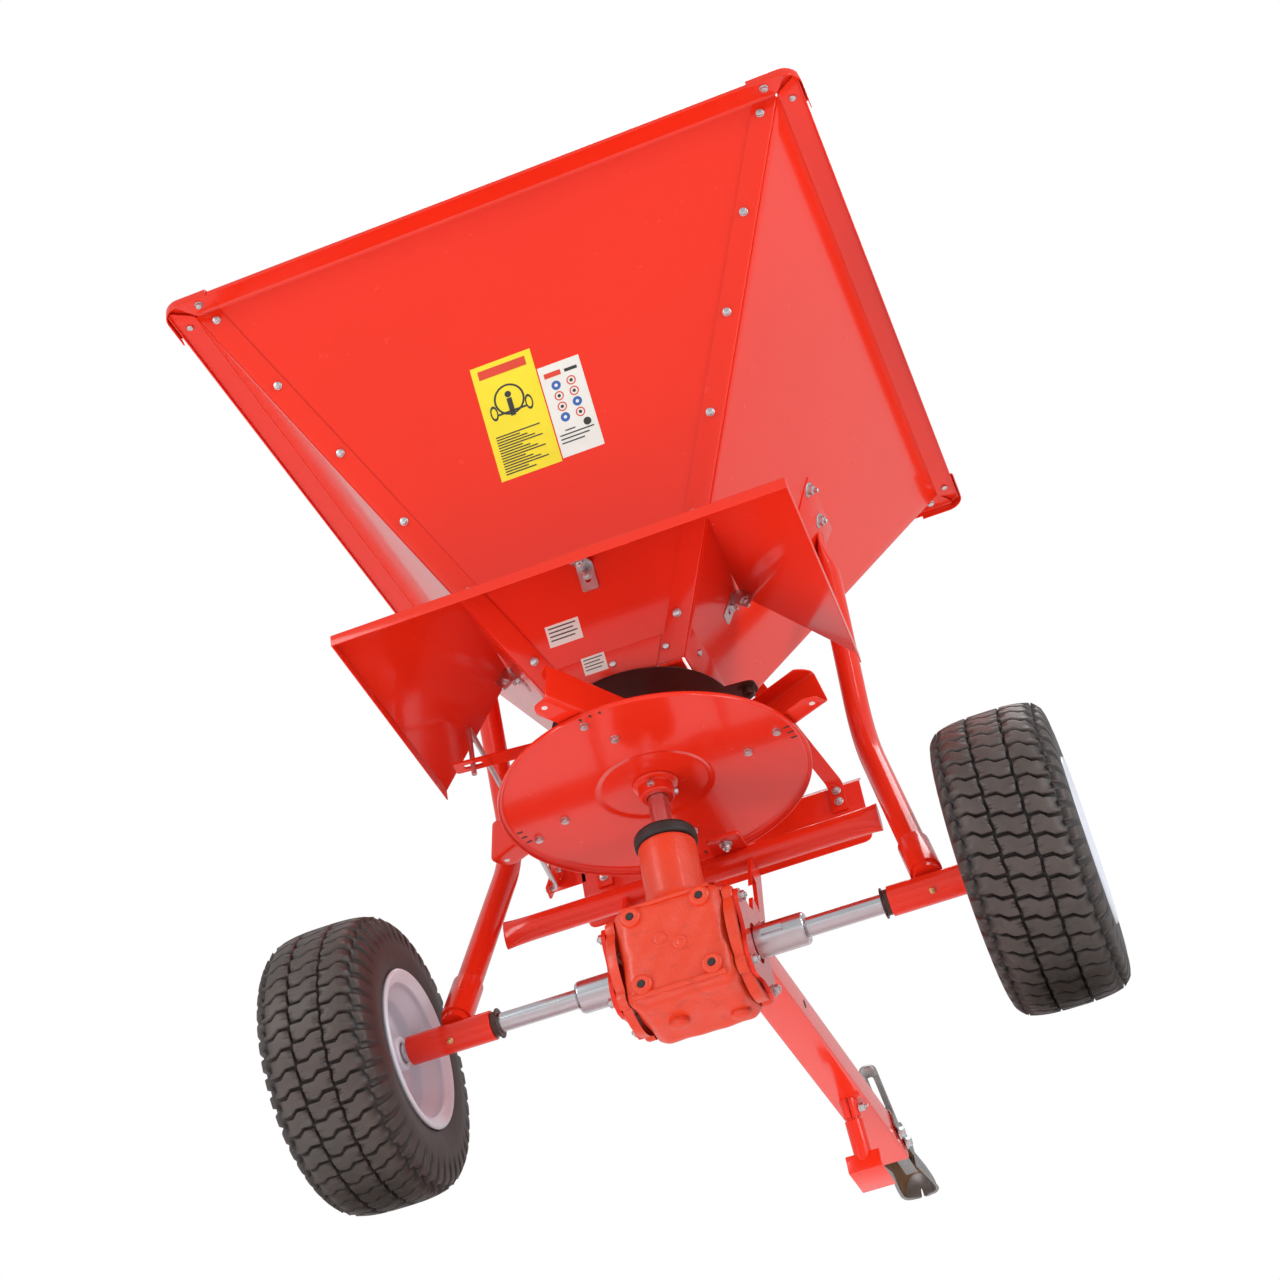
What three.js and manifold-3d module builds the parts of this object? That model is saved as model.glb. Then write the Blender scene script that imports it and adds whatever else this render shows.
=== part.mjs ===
// Tow-behind garden spreader: millimetres, +X right, +Y forward along the drawbar, +Z up, tyres standing on z = 0.
import * as THREE from "three";
import { mergeVertices } from "three/addons/utils/BufferGeometryUtils.js";
import { ConvexGeometry } from "three/addons/geometries/ConvexGeometry.js";
import Module from "manifold-3d";

const wasm = await Module();
wasm.setup();

// ---- driving sizes ----
const GAP = 0.3; // clearance between pieces that touch
const SHEET = 2; // steel sheet thickness
// hopper
const RIM_Z = 1312; // top of the hopper flanges
const RIM_HALF_W = 515; // outer half width of the rim
const RIM_BACK = -466; // outer rear edge of the rim
const RIM_FRONT = 626; // outer front edge of the rim
const RIM_FLANGE = 37; // width of the rim flanges
const RIM_LIP = 10; // drop of the lip on each flange
const OUTLET_Z = 624; // lower edge of the hopper panels
const OUTLET_HALF_W = 100;
const OUTLET_BACK = -104;
const OUTLET_FRONT = 84;
const STRIP = 38; // width of the strips folded over the corners
const CAP_LEG = 74; // length of a corner cap along each rail
const CAP_ROUND = 30;
const CAP_LIP = 16;
// dosing
const METER_R = 137;
const METER_Z = 610.1;
const SHUTTER_R = 112;
const SHUTTER_Z = 614.4;
const ARM_R = 262; // radius at which the rod drives the shutter arm
const ARM_ANGLE = 6.85; // degrees, half the shutter's travel
const PORT_R = 68;
const PORT_D = 17;
// rotor
const SHAFT_R = 15;
const DISC_R = 230;
const DISC_Z = 500; // underside of the disc plate
const DISC_LIP = 9;
const DISC_STEP_R = 84;
const VANE_L = 198;
const VANE_H = 64;
const VANE_FLANGE = 36;
const VANE_INNER = [98, 15.4]; // inner end of the first vane
const VANE_DIR = -27.4; // degrees, direction of the first vane
// gearbox
const AXLE_Z = 203.2;
const CASE_HALF_X = 78;
const CASE_BACK = -76;
const CASE_FRONT = 74;
const CASE_BOTTOM = 126;
const CASE_TOP = 280;
const CASE_BORE_R = 62;
const NECK_R = 42;
const NECK_TOP = 394;
const COVER_T = 15;
const COVER_R = 84;
const BOSS_HALF = [50, 52];
// axle and wheels
const AXLE_R = 13.5;
const SLEEVE_R = 23;
const SLEEVE_END = 172;
const HUB_TUBE_R = 21;
const HUB_TUBE_IN = 290;
const HUB_TUBE_OUT = 417;
const WHEEL_X = 485;
const TYRE_R = 203.2;
const TYRE_HALF = 82.5;
const BEAD_R = 101;
// frame
const TUBE_R = 19;
const TUBE_WALL = 2.5;
const SIDE_FOOT = [348, 0, 230];
const SIDE_BEND = [287, 188, 588];
const SIDE_TOP = [303, 190, 975];
const CROSS_Y = 107;
const CROSS_Z = 400;
const CROSS_HALF = 292;
const BAR_W = 60;
const BAR_H = 54;
const BAR_WALL = 3;
const BAR_BACK = CROSS_Y + TUBE_R + GAP;
const BAR_FRONT = 1345;
const BAR_Z0 = 362; // height of the bar's underside where y is 0
const BAR_SLOPE = 0.044;
const LEG_R = 13.5;
const LEG_TILT = 18.4; // degrees from upright, leaning forward
const LEG_MOUTH = [1008, 378]; // y and z of the sleeve's lower end
// stand foot
const FOOT_Z = 283;
const FOOT_HALF_W = 31;
const FOOT_BACK = 20; // behind the leg's landing point
const FOOT_AHEAD = 76;
const FOOT_SHEET = 4;
const FOOT_FLANGE = 32; // height of the turned-up rear edge
// shield and guard
// The shield hangs from the hopper: x is out from the side wall at SHIELD_HANG_Z, and the two rear y's are
// back from the rear wall at SHIELD_ROOF_Z.
const SHIELD_HANG_Z = 765;
const SHIELD_ROOF_Z = 797;
const SHIELD_TOP_OFF = [9.5, -0.3, 797]; // inner rear corner of the roof
const SHIELD_OUT_OFF = [159.5, -160.3, 676]; // outer rear corner
const SHIELD_TIP_OFF = [152.5, 34, 632]; // outer front tip of a wing, y from the rotor's line
const SHIELD_IN_OFF = [11.5, -12, 768]; // inner front corner of a wing, y from the rotor's line
const SHIELD_LIP = 17;
const GUARD_Y = 377;
const GUARD_HALF = 240;
const GUARD_Z = [529, 641];

// ---- materials ----
const paint = (colour, roughness, metalness) => new THREE.MeshStandardMaterial({ color: colour, roughness, metalness });
const RED = paint(0xd5281a, 0.25, 0);
const CAST_RED = paint(0xd93420, 0.5, 0);
const ZINC = paint(0xb9bcc0, 0.35, 1);
const STEEL = paint(0xc4c4c6, 0.25, 1);
const DARK = paint(0x2c1b18, 0.5, 0.3);
const RUBBER = paint(0x161616, 0.7, 0);
const TYRE = paint(0x252321, 0.85, 0);
const RIM = paint(0xe9e8f2, 0.3, 0);
const BRASS = paint(0xb08d45, 0.35, 1);

// ---- making solids ----
const group = new THREE.Group();
const rad = THREE.MathUtils.degToRad;

function solid(geometry) {
  const bare = geometry.clone();
  bare.deleteAttribute("normal");
  bare.deleteAttribute("uv");
  const merged = mergeVertices(bare, 1e-4);
  const order = merged.index.array;
  const made = new wasm.Manifold(new wasm.Mesh({
    numProp: 3,
    vertProperties: Float32Array.from(merged.attributes.position.array),
    triVerts: Uint32Array.from(order),
  }));
  return made;
}

function join(...solids) {
  return solids.reduce((a, b) => a.add(b));
}

function cut(base, ...tools) {
  return tools.reduce((a, b) => a.subtract(b), base);
}

function add(name, material, made) {
  const m = made.getMesh();
  const count = m.vertProperties.length / m.numProp;
  const positions = new Float32Array(count * 3);
  for (let i = 0; i < count; i++) {
    for (let k = 0; k < 3; k++) positions[3 * i + k] = m.vertProperties[i * m.numProp + k];
  }
  const geometry = new THREE.BufferGeometry();
  geometry.setAttribute("position", new THREE.BufferAttribute(positions, 3));
  geometry.setIndex(new THREE.BufferAttribute(new Uint32Array(m.triVerts), 1));
  geometry.computeVertexNormals();
  const mesh = new THREE.Mesh(geometry, material);
  mesh.name = name;
  group.add(mesh);
}

function box(x0, x1, y0, y1, z0, z1) {
  const g = new THREE.BoxGeometry(x1 - x0, y1 - y0, z1 - z0);
  return solid(g.translate((x0 + x1) / 2, (y0 + y1) / 2, (z0 + z1) / 2));
}

function hull(points) {
  return solid(new ConvexGeometry(points.map((p) => new THREE.Vector3(...p))));
}

// A cylinder from point a to point b.
function rod(a, b, radius, sides = 24) {
  const from = new THREE.Vector3(...a);
  const to = new THREE.Vector3(...b);
  const g = new THREE.CylinderGeometry(radius, radius, from.distanceTo(to), sides);
  const turn = new THREE.Quaternion().setFromUnitVectors(new THREE.Vector3(0, 1, 0), to.clone().sub(from).normalize());
  g.applyQuaternion(turn);
  g.translate((from.x + to.x) / 2, (from.y + to.y) / 2, (from.z + to.z) / 2);
  return solid(g);
}

function pipe(a, b, outer, inner, sides = 24) {
  const from = new THREE.Vector3(...a);
  const to = new THREE.Vector3(...b);
  const reach = to.clone().sub(from).normalize().multiplyScalar(2);
  const core = rod(from.clone().sub(reach).toArray(), to.clone().add(reach).toArray(), inner, sides);
  return cut(rod(a, b, outer, sides), core);
}

// A closed profile of [radius, height] turned about Z.
function lathe(profile, sides = 40) {
  const points = profile.map(([r, z]) => new THREE.Vector2(r, z));
  return solid(new THREE.LatheGeometry(points, sides).rotateX(Math.PI / 2));
}

// The same profile turned about the X axis at the axle's height; heights run along +X from x.
function latheX(profile, x, sides = 40, flip = 1) {
  const points = profile.map(([r, h]) => new THREE.Vector2(r, h));
  const g = new THREE.LatheGeometry(points, sides).rotateZ(flip > 0 ? -Math.PI / 2 : Math.PI / 2);
  return solid(g.translate(x, 0, AXLE_Z));
}

// A flat outline in the XY plane, extruded up from z0 by height.
function plate(outline, z0, height, holes = []) {
  const shape = new THREE.Shape(outline.map(([x, y]) => new THREE.Vector2(x, y)));
  let made = solid(new THREE.ExtrudeGeometry(shape, { depth: height, bevelEnabled: false }).translate(0, 0, z0));
  for (const [x, y, d] of holes) made = cut(made, rod([x, y, z0 - 1], [x, y, z0 + height + 1], d / 2, 16));
  return made;
}

// A flat outline of [y, z] points, extruded along +X from x0.
function plateX(outline, x0, width) {
  const shape = new THREE.Shape(outline.map(([y, z]) => new THREE.Vector2(y, z)));
  const g = new THREE.ExtrudeGeometry(shape, { depth: width, bevelEnabled: false });
  g.applyMatrix4(new THREE.Matrix4().set(0, 0, 1, x0, 1, 0, 0, 0, 0, 1, 0, 0, 0, 0, 0, 1));
  return solid(g);
}

function arc(cx, cy, r, from, to, steps) {
  const out = [];
  for (let i = 0; i <= steps; i++) {
    const a = rad(from + ((to - from) * i) / steps);
    out.push([cx + r * Math.cos(a), cy + r * Math.sin(a)]);
  }
  return out;
}

function mirrored([x, y, z], side) {
  return [x * side, y, z];
}

// A sheet between two edges: the quadrilateral a b c d given a thickness along its normal.
function sheet(a, b, c, d, t) {
  const v = [a, b, c, d].map((p) => new THREE.Vector3(...p));
  const n = v[2].clone().sub(v[0]).cross(v[3].clone().sub(v[1])).normalize().multiplyScalar(t);
  return hull([...v.map((p) => p.toArray()), ...v.map((p) => p.clone().add(n).toArray())]);
}

function tubeAlong(points, bendSteps, outer, inner, sides) {
  const v = points.map((p) => new THREE.Vector3(...p));
  const path = new THREE.CurvePath();
  path.add(new THREE.LineCurve3(v[0], v[1]));
  path.add(new THREE.QuadraticBezierCurve3(v[1], v[2], v[3]));
  path.add(new THREE.LineCurve3(v[3], v[4]));
  const ring = (r) => new THREE.Path().absarc(0, 0, r, 0, Math.PI * 2, false);
  const shape = new THREE.Shape(ring(outer).getPoints(sides));
  shape.holes.push(new THREE.Path(ring(inner).getPoints(sides)));
  return solid(new THREE.ExtrudeGeometry(shape, { extrudePath: path, steps: bendSteps, bevelEnabled: false }));
}

// ---- hopper ----
const rise = RIM_Z - OUTLET_Z;
const kSide = (RIM_HALF_W - RIM_FLANGE - OUTLET_HALF_W) / rise;
const kBack = (OUTLET_BACK - (RIM_BACK + RIM_FLANGE)) / rise;
const kFront = (RIM_FRONT - RIM_FLANGE - OUTLET_FRONT) / rise;
const sideX = (z, off) => OUTLET_HALF_W + (z - OUTLET_Z) * kSide + off * Math.hypot(1, kSide);
const backY = (z, off) => OUTLET_BACK - (z - OUTLET_Z) * kBack - off * Math.hypot(1, kBack);
const frontY = (z, off) => OUTLET_FRONT + (z - OUTLET_Z) * kFront + off * Math.hypot(1, kFront);

// Eight corners: at each height, x from x0 to x1 and y from y0 to y1, each a function of height.
function slab(z0, z1, x0, x1, y0, y1) {
  const points = [];
  for (const z of [z0, z1]) {
    for (const x of [x0(z), x1(z)]) {
      for (const y of [y0(z), y1(z)]) points.push([x, y, z]);
    }
  }
  return hull(points);
}

function endPanel(name, wallY, edge, sign) {
  const wall = slab(OUTLET_Z, RIM_Z, (z) => -sideX(z, -GAP), (z) => sideX(z, -GAP), (z) => wallY(z, 0), (z) => wallY(z, SHEET));
  const inner = wallY(RIM_Z, 0);
  const chamfer = 24;
  const w = RIM_HALF_W;
  const flange = hull([RIM_Z - SHEET, RIM_Z].flatMap((z) => [
    [-w, inner, z], [w, inner, z],
    [-w, edge - sign * chamfer, z], [w, edge - sign * chamfer, z],
    [-w + chamfer, edge, z], [w - chamfer, edge, z],
  ]));
  const lipY = [edge - sign * SHEET, edge].sort((a, b) => a - b);
  const lip = box(-w + chamfer, w - chamfer, lipY[0], lipY[1], RIM_Z - RIM_LIP, RIM_Z);
  add(name, RED, join(wall, flange, lip));
}
endPanel("hopper_panel_rear", backY, RIM_BACK, -1);
endPanel("hopper_panel_front", frontY, RIM_FRONT, 1);

for (const [name, side] of [["left", -1], ["right", 1]]) {
  const x = (off) => (z) => side * sideX(z, off);
  const low = RIM_Z - 6;
  const outerOff = 2 * SHEET + GAP;
  const upper = slab(OUTLET_Z, RIM_Z, x(0), x(SHEET), (z) => backY(z, -GAP), (z) => frontY(z, -GAP));
  const wrap = slab(OUTLET_Z, low, x(0), x(SHEET), (z) => backY(z, outerOff), (z) => frontY(z, outerOff));
  const inside = (z) => side * (sideX(z, SHEET) - STRIP);
  const stripBack = slab(OUTLET_Z, low, inside, x(SHEET), (z) => backY(z, SHEET + GAP), (z) => backY(z, outerOff));
  const stripFront = slab(OUTLET_Z, low, inside, x(SHEET), (z) => frontY(z, SHEET + GAP), (z) => frontY(z, outerOff));
  const y0 = RIM_BACK + RIM_FLANGE + GAP;
  const y1 = RIM_FRONT - RIM_FLANGE - GAP;
  const xs = [side * sideX(RIM_Z, 0), side * RIM_HALF_W].sort((a, b) => a - b);
  const lips = [side * (RIM_HALF_W - SHEET), side * RIM_HALF_W].sort((a, b) => a - b);
  const flange = box(xs[0], xs[1], y0, y1, RIM_Z - SHEET, RIM_Z);
  const lip = box(lips[0], lips[1], y0, y1, RIM_Z - RIM_LIP, RIM_Z);
  add("hopper_panel_" + name, RED, join(upper, wrap, stripBack, stripFront, flange, lip));
}

// Corner caps: an L-shaped top with a rounded corner and a lip hanging outside the rails.
function cornerCap(name, sx, sy) {
  const edgeY = sy < 0 ? RIM_BACK : RIM_FRONT;
  const cap = (grow) => {
    const o = 1 + grow;
    const r = CAP_ROUND - (3 - o);
    const corner = arc(o - r, o - r, r, 0, 90, 6);
    return [[o, -CAP_LEG], ...corner, [-CAP_LEG, o]];
  };
  const place = ([x, y]) => [sx * (RIM_HALF_W + x), edgeY + sy * y];
  const outer = cap(2);
  const inner = cap(0);
  const order = (pts) => (sx * sy > 0 ? pts : [...pts].reverse());
  const top = [...outer, [-CAP_LEG, -RIM_FLANGE], [-RIM_FLANGE, -RIM_FLANGE], [-RIM_FLANGE, -CAP_LEG]];
  const lip = [...outer, ...[...inner].reverse()];
  const z = RIM_Z + GAP;
  add(name, RED, join(
    plate(order(top.map(place)), z, SHEET),
    plate(order(lip.map(place)), z - CAP_LIP, CAP_LIP + SHEET),
  ));
}
cornerCap("corner_cap_rear_left", -1, -1);
cornerCap("corner_cap_rear_right", 1, -1);
cornerCap("corner_cap_front_left", -1, 1);
cornerCap("corner_cap_front_right", 1, 1);

// ---- dosing ----
const ports = (turn) => [-60, -90, -120].map((a) => {
  const t = rad(a + turn);
  return [PORT_R * Math.cos(t), PORT_R * Math.sin(t), PORT_D];
});
const shaftHole = [0, 0, 2 * (SHAFT_R + 2)];
add("outlet_floor", RED, plate(
  [[-99, -106], [99, -106], [99, 86], [-99, 86]], OUTLET_Z - GAP - 5, 5, [...ports(0), shaftHole]));
const arm = rad(180 + ARM_ANGLE);
const armPoint = (r, side) => [r * Math.cos(arm) - side * 13 * Math.sin(arm), r * Math.sin(arm) + side * 13 * Math.cos(arm)];
const armSlot = (r) => [r * Math.cos(arm), r * Math.sin(arm)];
const slotBar = hull([248, 276].flatMap((r) => [-4.6, 4.6].flatMap((s) => [SHUTTER_Z - 1, SHUTTER_Z + 5].map((z) => [
  armSlot(r)[0] - (s) * Math.sin(arm), armSlot(r)[1] + s * Math.cos(arm), z]))));
const shutterPlate = join(
  plate(arc(0, 0, SHUTTER_R, 0, 350, 35), SHUTTER_Z, 4),
  plate([armPoint(60, 1), armPoint(290, 1), armPoint(290, -1), armPoint(60, -1)], SHUTTER_Z, 4),
);
add("shutter_plate", DARK, cut(
  shutterPlate, slotBar,
  ...[...ports(-2 * ARM_ANGLE), shaftHole].map(([x, y, d]) => rod([x, y, SHUTTER_Z - 1], [x, y, SHUTTER_Z + 5], d / 2, 16)),
));
const earBar = plate([[-178, -22], [178, -22], [178, 22], [-178, 22]], METER_Z, 4, [[-166, 0, 9], [166, 0, 9]]);
const meter = join(plate(arc(0, 0, METER_R, 0, 350, 35), METER_Z, 4), earBar);
add("metering_plate", DARK, cut(meter,
  ...[...ports(0), shaftHole].map(([x, y, d]) => rod([x, y, METER_Z - 1], [x, y, METER_Z + 5], d / 2, 16))));
// The rod runs down and forward beside the rotor; its rear end is bent down through the slot of the shutter's arm.
const rodDir = [0, 0.948, -0.319];
const rodRear = [armSlot(ARM_R)[0], armSlot(ARM_R)[1], 686];
const alongRod = (s) => rodRear.map((c, i) => c + rodDir[i] * s);
const ROD_LENGTH = 349.5;
const rodFront = alongRod(ROD_LENGTH);
const leverX = rodRear[0];
add("control_rod", ZINC, join(
  rod(rodRear, rodFront, 4, 12),
  rod([rodRear[0], rodRear[1], 598], [rodRear[0], rodRear[1], 688], 4, 12),
  rod([leverX + 4, rodFront[1], rodFront[2]], [leverX - 18, rodFront[1], rodFront[2]], 4, 12),
));
// The lever turns about a pin beside the guard plate; the rod's front pin runs in a slot at its foot.
const LEVER_PIN = [355, 640.4];
const towards = new THREE.Vector2(rodFront[1] - LEVER_PIN[0], rodFront[2] - LEVER_PIN[1]).normalize();
const onFoot = (s, w) => [LEVER_PIN[0] + towards.x * s - towards.y * w, LEVER_PIN[1] + towards.y * s + towards.x * w];
const onHandle = (s, w) => [LEVER_PIN[0] + 0.087 * s + 0.996 * w, LEVER_PIN[1] + 0.996 * s - 0.087 * w];
const leverPlate = join(
  plateX([onFoot(-14, 12), onFoot(100, 10), onFoot(100, -10), onFoot(-14, -12)], leverX - 14, 4),
  plateX([onHandle(-12, -11), onHandle(-12, 11), onHandle(85, 9), onHandle(85, -9)], leverX - 14, 4),
  rod([leverX - 14, ...onHandle(76, 0)], [leverX + 14, ...onHandle(76, 0)], 8, 14),
);
add("dosing_lever", RED, cut(
  leverPlate,
  plateX([onFoot(71, 5), onFoot(93, 5), onFoot(93, -5), onFoot(71, -5)], leverX - 16, 8),
  rod([leverX - 16, ...LEVER_PIN], [leverX - 8, ...LEVER_PIN], 5.3, 16),
));

// ---- shield ----
const hangX = sideX(SHIELD_HANG_Z, 0);
const hangY = backY(SHIELD_ROOF_Z, 0);
const SHIELD_TOP = [hangX + SHIELD_TOP_OFF[0], hangY + SHIELD_TOP_OFF[1], SHIELD_TOP_OFF[2]];
const SHIELD_OUT = [hangX + SHIELD_OUT_OFF[0], hangY + SHIELD_OUT_OFF[1], SHIELD_OUT_OFF[2]];
const SHIELD_TIP = [hangX + SHIELD_TIP_OFF[0], SHIELD_TIP_OFF[1], SHIELD_TIP_OFF[2]];
const SHIELD_IN = [hangX + SHIELD_IN_OFF[0], SHIELD_IN_OFF[1], SHIELD_IN_OFF[2]];
const shieldSide = (side) => {
  const m = (p) => mirrored(p, side);
  const wing = [m(SHIELD_TOP), m(SHIELD_OUT), m(SHIELD_TIP), m(SHIELD_IN)];
  const slabOf = (pts) => hull([...pts, ...pts.map(([x, y, z]) => [x, y, z + SHEET])]);
  const drop = (p, q) => hull([p, q].flatMap(([x, y, z]) => [
    [x, y, z + SHEET], [x, y, z - SHIELD_LIP], [x - side * SHEET, y, z + SHEET], [x - side * SHEET, y, z - SHIELD_LIP]]));
  return [slabOf([wing[0], wing[1], wing[2]]), slabOf([wing[0], wing[2], wing[3]]), drop(wing[1], wing[2])];
};
const roofCorners = [mirrored(SHIELD_TOP, -1), SHIELD_TOP, SHIELD_OUT, mirrored(SHIELD_OUT, -1)];
const roof = hull([...roofCorners, ...roofCorners.map(([x, y, z]) => [x, y, z + SHEET])]);
const [, outY, outZ] = SHIELD_OUT;
const roofLip = box(-SHIELD_OUT[0], SHIELD_OUT[0], outY, outY + SHEET, outZ - SHIELD_LIP, outZ + SHEET);
const hopperSpace = slab(OUTLET_Z, 900, (z) => -sideX(z, SHEET + 1), (z) => sideX(z, SHEET + 1),
  (z) => backY(z, 2 * SHEET + 1.2), (z) => frontY(z, 30));
add("spread_shield", RED, cut(join(roof, roofLip, ...shieldSide(-1), ...shieldSide(1)), hopperSpace));

// Zinc brackets that hang the shield from the hopper.
const rearFace = 2 * SHEET + 2 * GAP;
const bracketSlot = rod([0, -260, 770], [0, -100, 770], 4.5, 12);
const rearLeaf = slab(752, 790, () => -13, () => 13, (z) => backY(z, SHEET + GAP), (z) => backY(z, SHEET + GAP + 3));
const footStart = backY(791, SHEET + GAP);
const footEnd = footStart - 26.6;
const rearFoot = hull([-13, 13].flatMap((x) => [
  [x, footStart, 786], [x, footStart, 789], [x, footEnd, 768], [x, footEnd, 771.5]]));
add("shield_bracket_rear", ZINC, cut(join(rearLeaf, rearFoot), bracketSlot));
for (const [name, side] of [["left", -1], ["right", 1]]) {
  const leaf = slab(722, 764, (z) => side * sideX(z, SHEET + GAP), (z) => side * sideX(z, SHEET + GAP + 3), () => -40, () => -14);
  const reach = sideX(765, SHEET + GAP);
  const foot = hull([0, 3].flatMap((dz) => [-40, -14].flatMap((y) => [
    [side * reach, y, 760 + dz], [side * (reach + 26), y, 744 + dz]])));
  add("shield_bracket_" + name, ZINC, cut(join(leaf, foot), rod([side * 120, -27, 738], [side * 220, -27, 738], 4.5, 12)));
}

// ---- frame ----
for (const [name, side] of [["left", -1], ["right", 1]]) {
  const foot = new THREE.Vector3(...mirrored(SIDE_FOOT, side));
  const bend = new THREE.Vector3(...mirrored(SIDE_BEND, side));
  const top = new THREE.Vector3(...mirrored(SIDE_TOP, side));
  const before = bend.clone().add(foot.clone().sub(bend).setLength(62));
  const after = bend.clone().add(top.clone().sub(bend).setLength(62));
  const path = [foot, before, bend, after, top].map((p) => p.toArray());
  const tube = tubeAlong(path, 16, TUBE_R, TUBE_R - TUBE_WALL, 4);
  // the upper end carries a plate that lies along the hopper's side
  const y0 = 70;
  const y1 = 214;
  const tab = slab(940, 1015, (z) => side * sideX(z, SHEET + GAP), (z) => side * sideX(z, SHEET + GAP + 4), () => y0, () => y1);
  const rib = hull([
    [side * 292, 186, 940], [side * 292, 194, 940], [side * 312, 186, 940], [side * 312, 194, 940],
    [side * sideX(1010, 5), 186, 1010], [side * sideX(1010, 5), 194, 1010],
    [side * sideX(945, 5), 186, 945], [side * sideX(945, 5), 194, 945],
  ]);
  const hub = rod([side * 270, 0, AXLE_Z], [side * 430, 0, AXLE_Z], HUB_TUBE_R + GAP, 32);
  const hopperCut = slab(700, 1100, () => 0, (z) => side * sideX(z, SHEET + GAP), () => -100, () => 400);
  const body = cut(join(tube, tab, rib), hub, hopperCut);
  add("side_tube_" + name, RED, body.decompose().sort((a, b) => b.volume() - a.volume())[0]);
}
const sideAt = (z) => {
  const t = (z - SIDE_FOOT[2]) / (SIDE_BEND[2] - SIDE_FOOT[2]);
  return SIDE_FOOT.map((c, i) => c + t * (SIDE_BEND[i] - c));
};
const crossTube = pipe([-CROSS_HALF, CROSS_Y, CROSS_Z], [CROSS_HALF, CROSS_Y, CROSS_Z], TUBE_R - 0.5, TUBE_R - TUBE_WALL - 0.5);
const seats = [-1, 1].map((side) => {
  const a = mirrored(sideAt(330), side);
  const b = mirrored(sideAt(470), side);
  return rod(a, b, TUBE_R + GAP, 32);
});
const neckTab = box(46, 96, 48, CROSS_Y, CROSS_Z + 8, CROSS_Z + 14);
add("cross_tube", RED, cut(join(crossTube, neckTab), ...seats,
  rod([72, 66, CROSS_Z], [72, 66, CROSS_Z + 20], 5, 12), rod([0, 0, 380], [0, 0, 430], NECK_R + 6, 32)));

// Web plates from the gearbox sides to the cross tube.
for (const [name, side] of [["left", -1], ["right", 1]]) {
  const x0 = side > 0 ? CASE_HALF_X + COVER_T + GAP : -(CASE_HALF_X + COVER_T + GAP) - 6;
  const lobes = [];
  for (let i = 0; i < 32; i++) {
    const a = (i / 32) * Math.PI * 2;
    const r = 70 + 12 * Math.cos(4 * (a - Math.PI / 4));
    lobes.push([r * Math.cos(a), AXLE_Z + r * Math.sin(a)]);
  }
  const ring = plateX(lobes, x0, 6);
  const armPlate = plateX([[8, AXLE_Z + 40], [64, AXLE_Z + 20], [CROSS_Y + 22, CROSS_Z - 20], [CROSS_Y - 22, CROSS_Z - 12]], x0, 6);
  const holes = [45, 135, 225, 315].map((d) => {
    const y = 70 * Math.cos(rad(d));
    const z = AXLE_Z + 70 * Math.sin(rad(d));
    return rod([x0 - 2, y, z], [x0 + 8, y, z], 4.5, 12);
  });
  const seat = rod([x0 - 5, CROSS_Y, CROSS_Z], [x0 + 11, CROSS_Y, CROSS_Z], TUBE_R - 0.5 + GAP, 32);
  const eye = rod([x0 - 5, 0, AXLE_Z], [x0 + 11, 0, AXLE_Z], SLEEVE_R + 6, 32);
  const window = plateX([[34, AXLE_Z + 92], [62, AXLE_Z + 80], [82, AXLE_Z + 140], [66, AXLE_Z + 146]], x0 - 2, 10);
  add("gearbox_web_" + name, RED, cut(join(ring, armPlate), seat, eye, window, ...holes));
}

// Drawbar: a square tube that rises slightly towards the coupler.
const barZ = (y) => BAR_Z0 + BAR_SLOPE * y;
const barSolid = (grow, y0, y1) => slab2(-BAR_W / 2 - grow, BAR_W / 2 + grow, y0, y1, -grow, BAR_H + grow);
function slab2(x0, x1, y0, y1, dz0, dz1) {
  return hull([x0, x1].flatMap((x) => [y0, y1].flatMap((y) => [[x, y, barZ(y) + dz0], [x, y, barZ(y) + dz1]])));
}
const legDir = [0, Math.sin(rad(LEG_TILT)), -Math.cos(rad(LEG_TILT))];
const legAt = (s) => [0, LEG_MOUTH[0] + legDir[1] * s, LEG_MOUTH[1] + legDir[2] * s];
const couplerBolts = [1268, 1325];
add("drawbar", RED, cut(
  barSolid(0, BAR_BACK, BAR_FRONT),
  barSolid(-BAR_WALL, BAR_BACK - 5, BAR_FRONT + 5),
  rod([-40, 626, barZ(626) + 30], [40, 626, barZ(626) + 30], 6.5, 16),
  rod(legAt(-45), legAt(10), LEG_R + 3.4, 24),
  ...couplerBolts.map((y) => rod([-40, y, barZ(y) + 24], [40, y, barZ(y) + 24], 6.5, 16)),
));
const barBelow = barSolid(GAP, 800, 1200);
add("stand_sleeve", RED, cut(
  pipe(legAt(-60), legAt(0), LEG_R + 3, LEG_R + 0.5), barBelow,
  box(-40, 40, 900, 1100, barZ(1000) + 10, 520),
));
const [, landY] = legAt(97);
const footPlate = join(
  box(-FOOT_HALF_W, FOOT_HALF_W, landY - FOOT_BACK, landY + FOOT_AHEAD, FOOT_Z, FOOT_Z + FOOT_SHEET),
  box(-FOOT_HALF_W, FOOT_HALF_W, landY - FOOT_BACK, landY - FOOT_BACK + FOOT_SHEET, FOOT_Z, FOOT_Z + FOOT_FLANGE),
);
const leg = cut(rod(legAt(-66), legAt(97), LEG_R, 24), rod(legAt(-70), legAt(60), LEG_R - 2.5, 20));
add("stand_leg", RED, join(cut(leg, box(-40, 40, 900, 1200, 200, FOOT_Z + 1)), footPlate));

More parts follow.
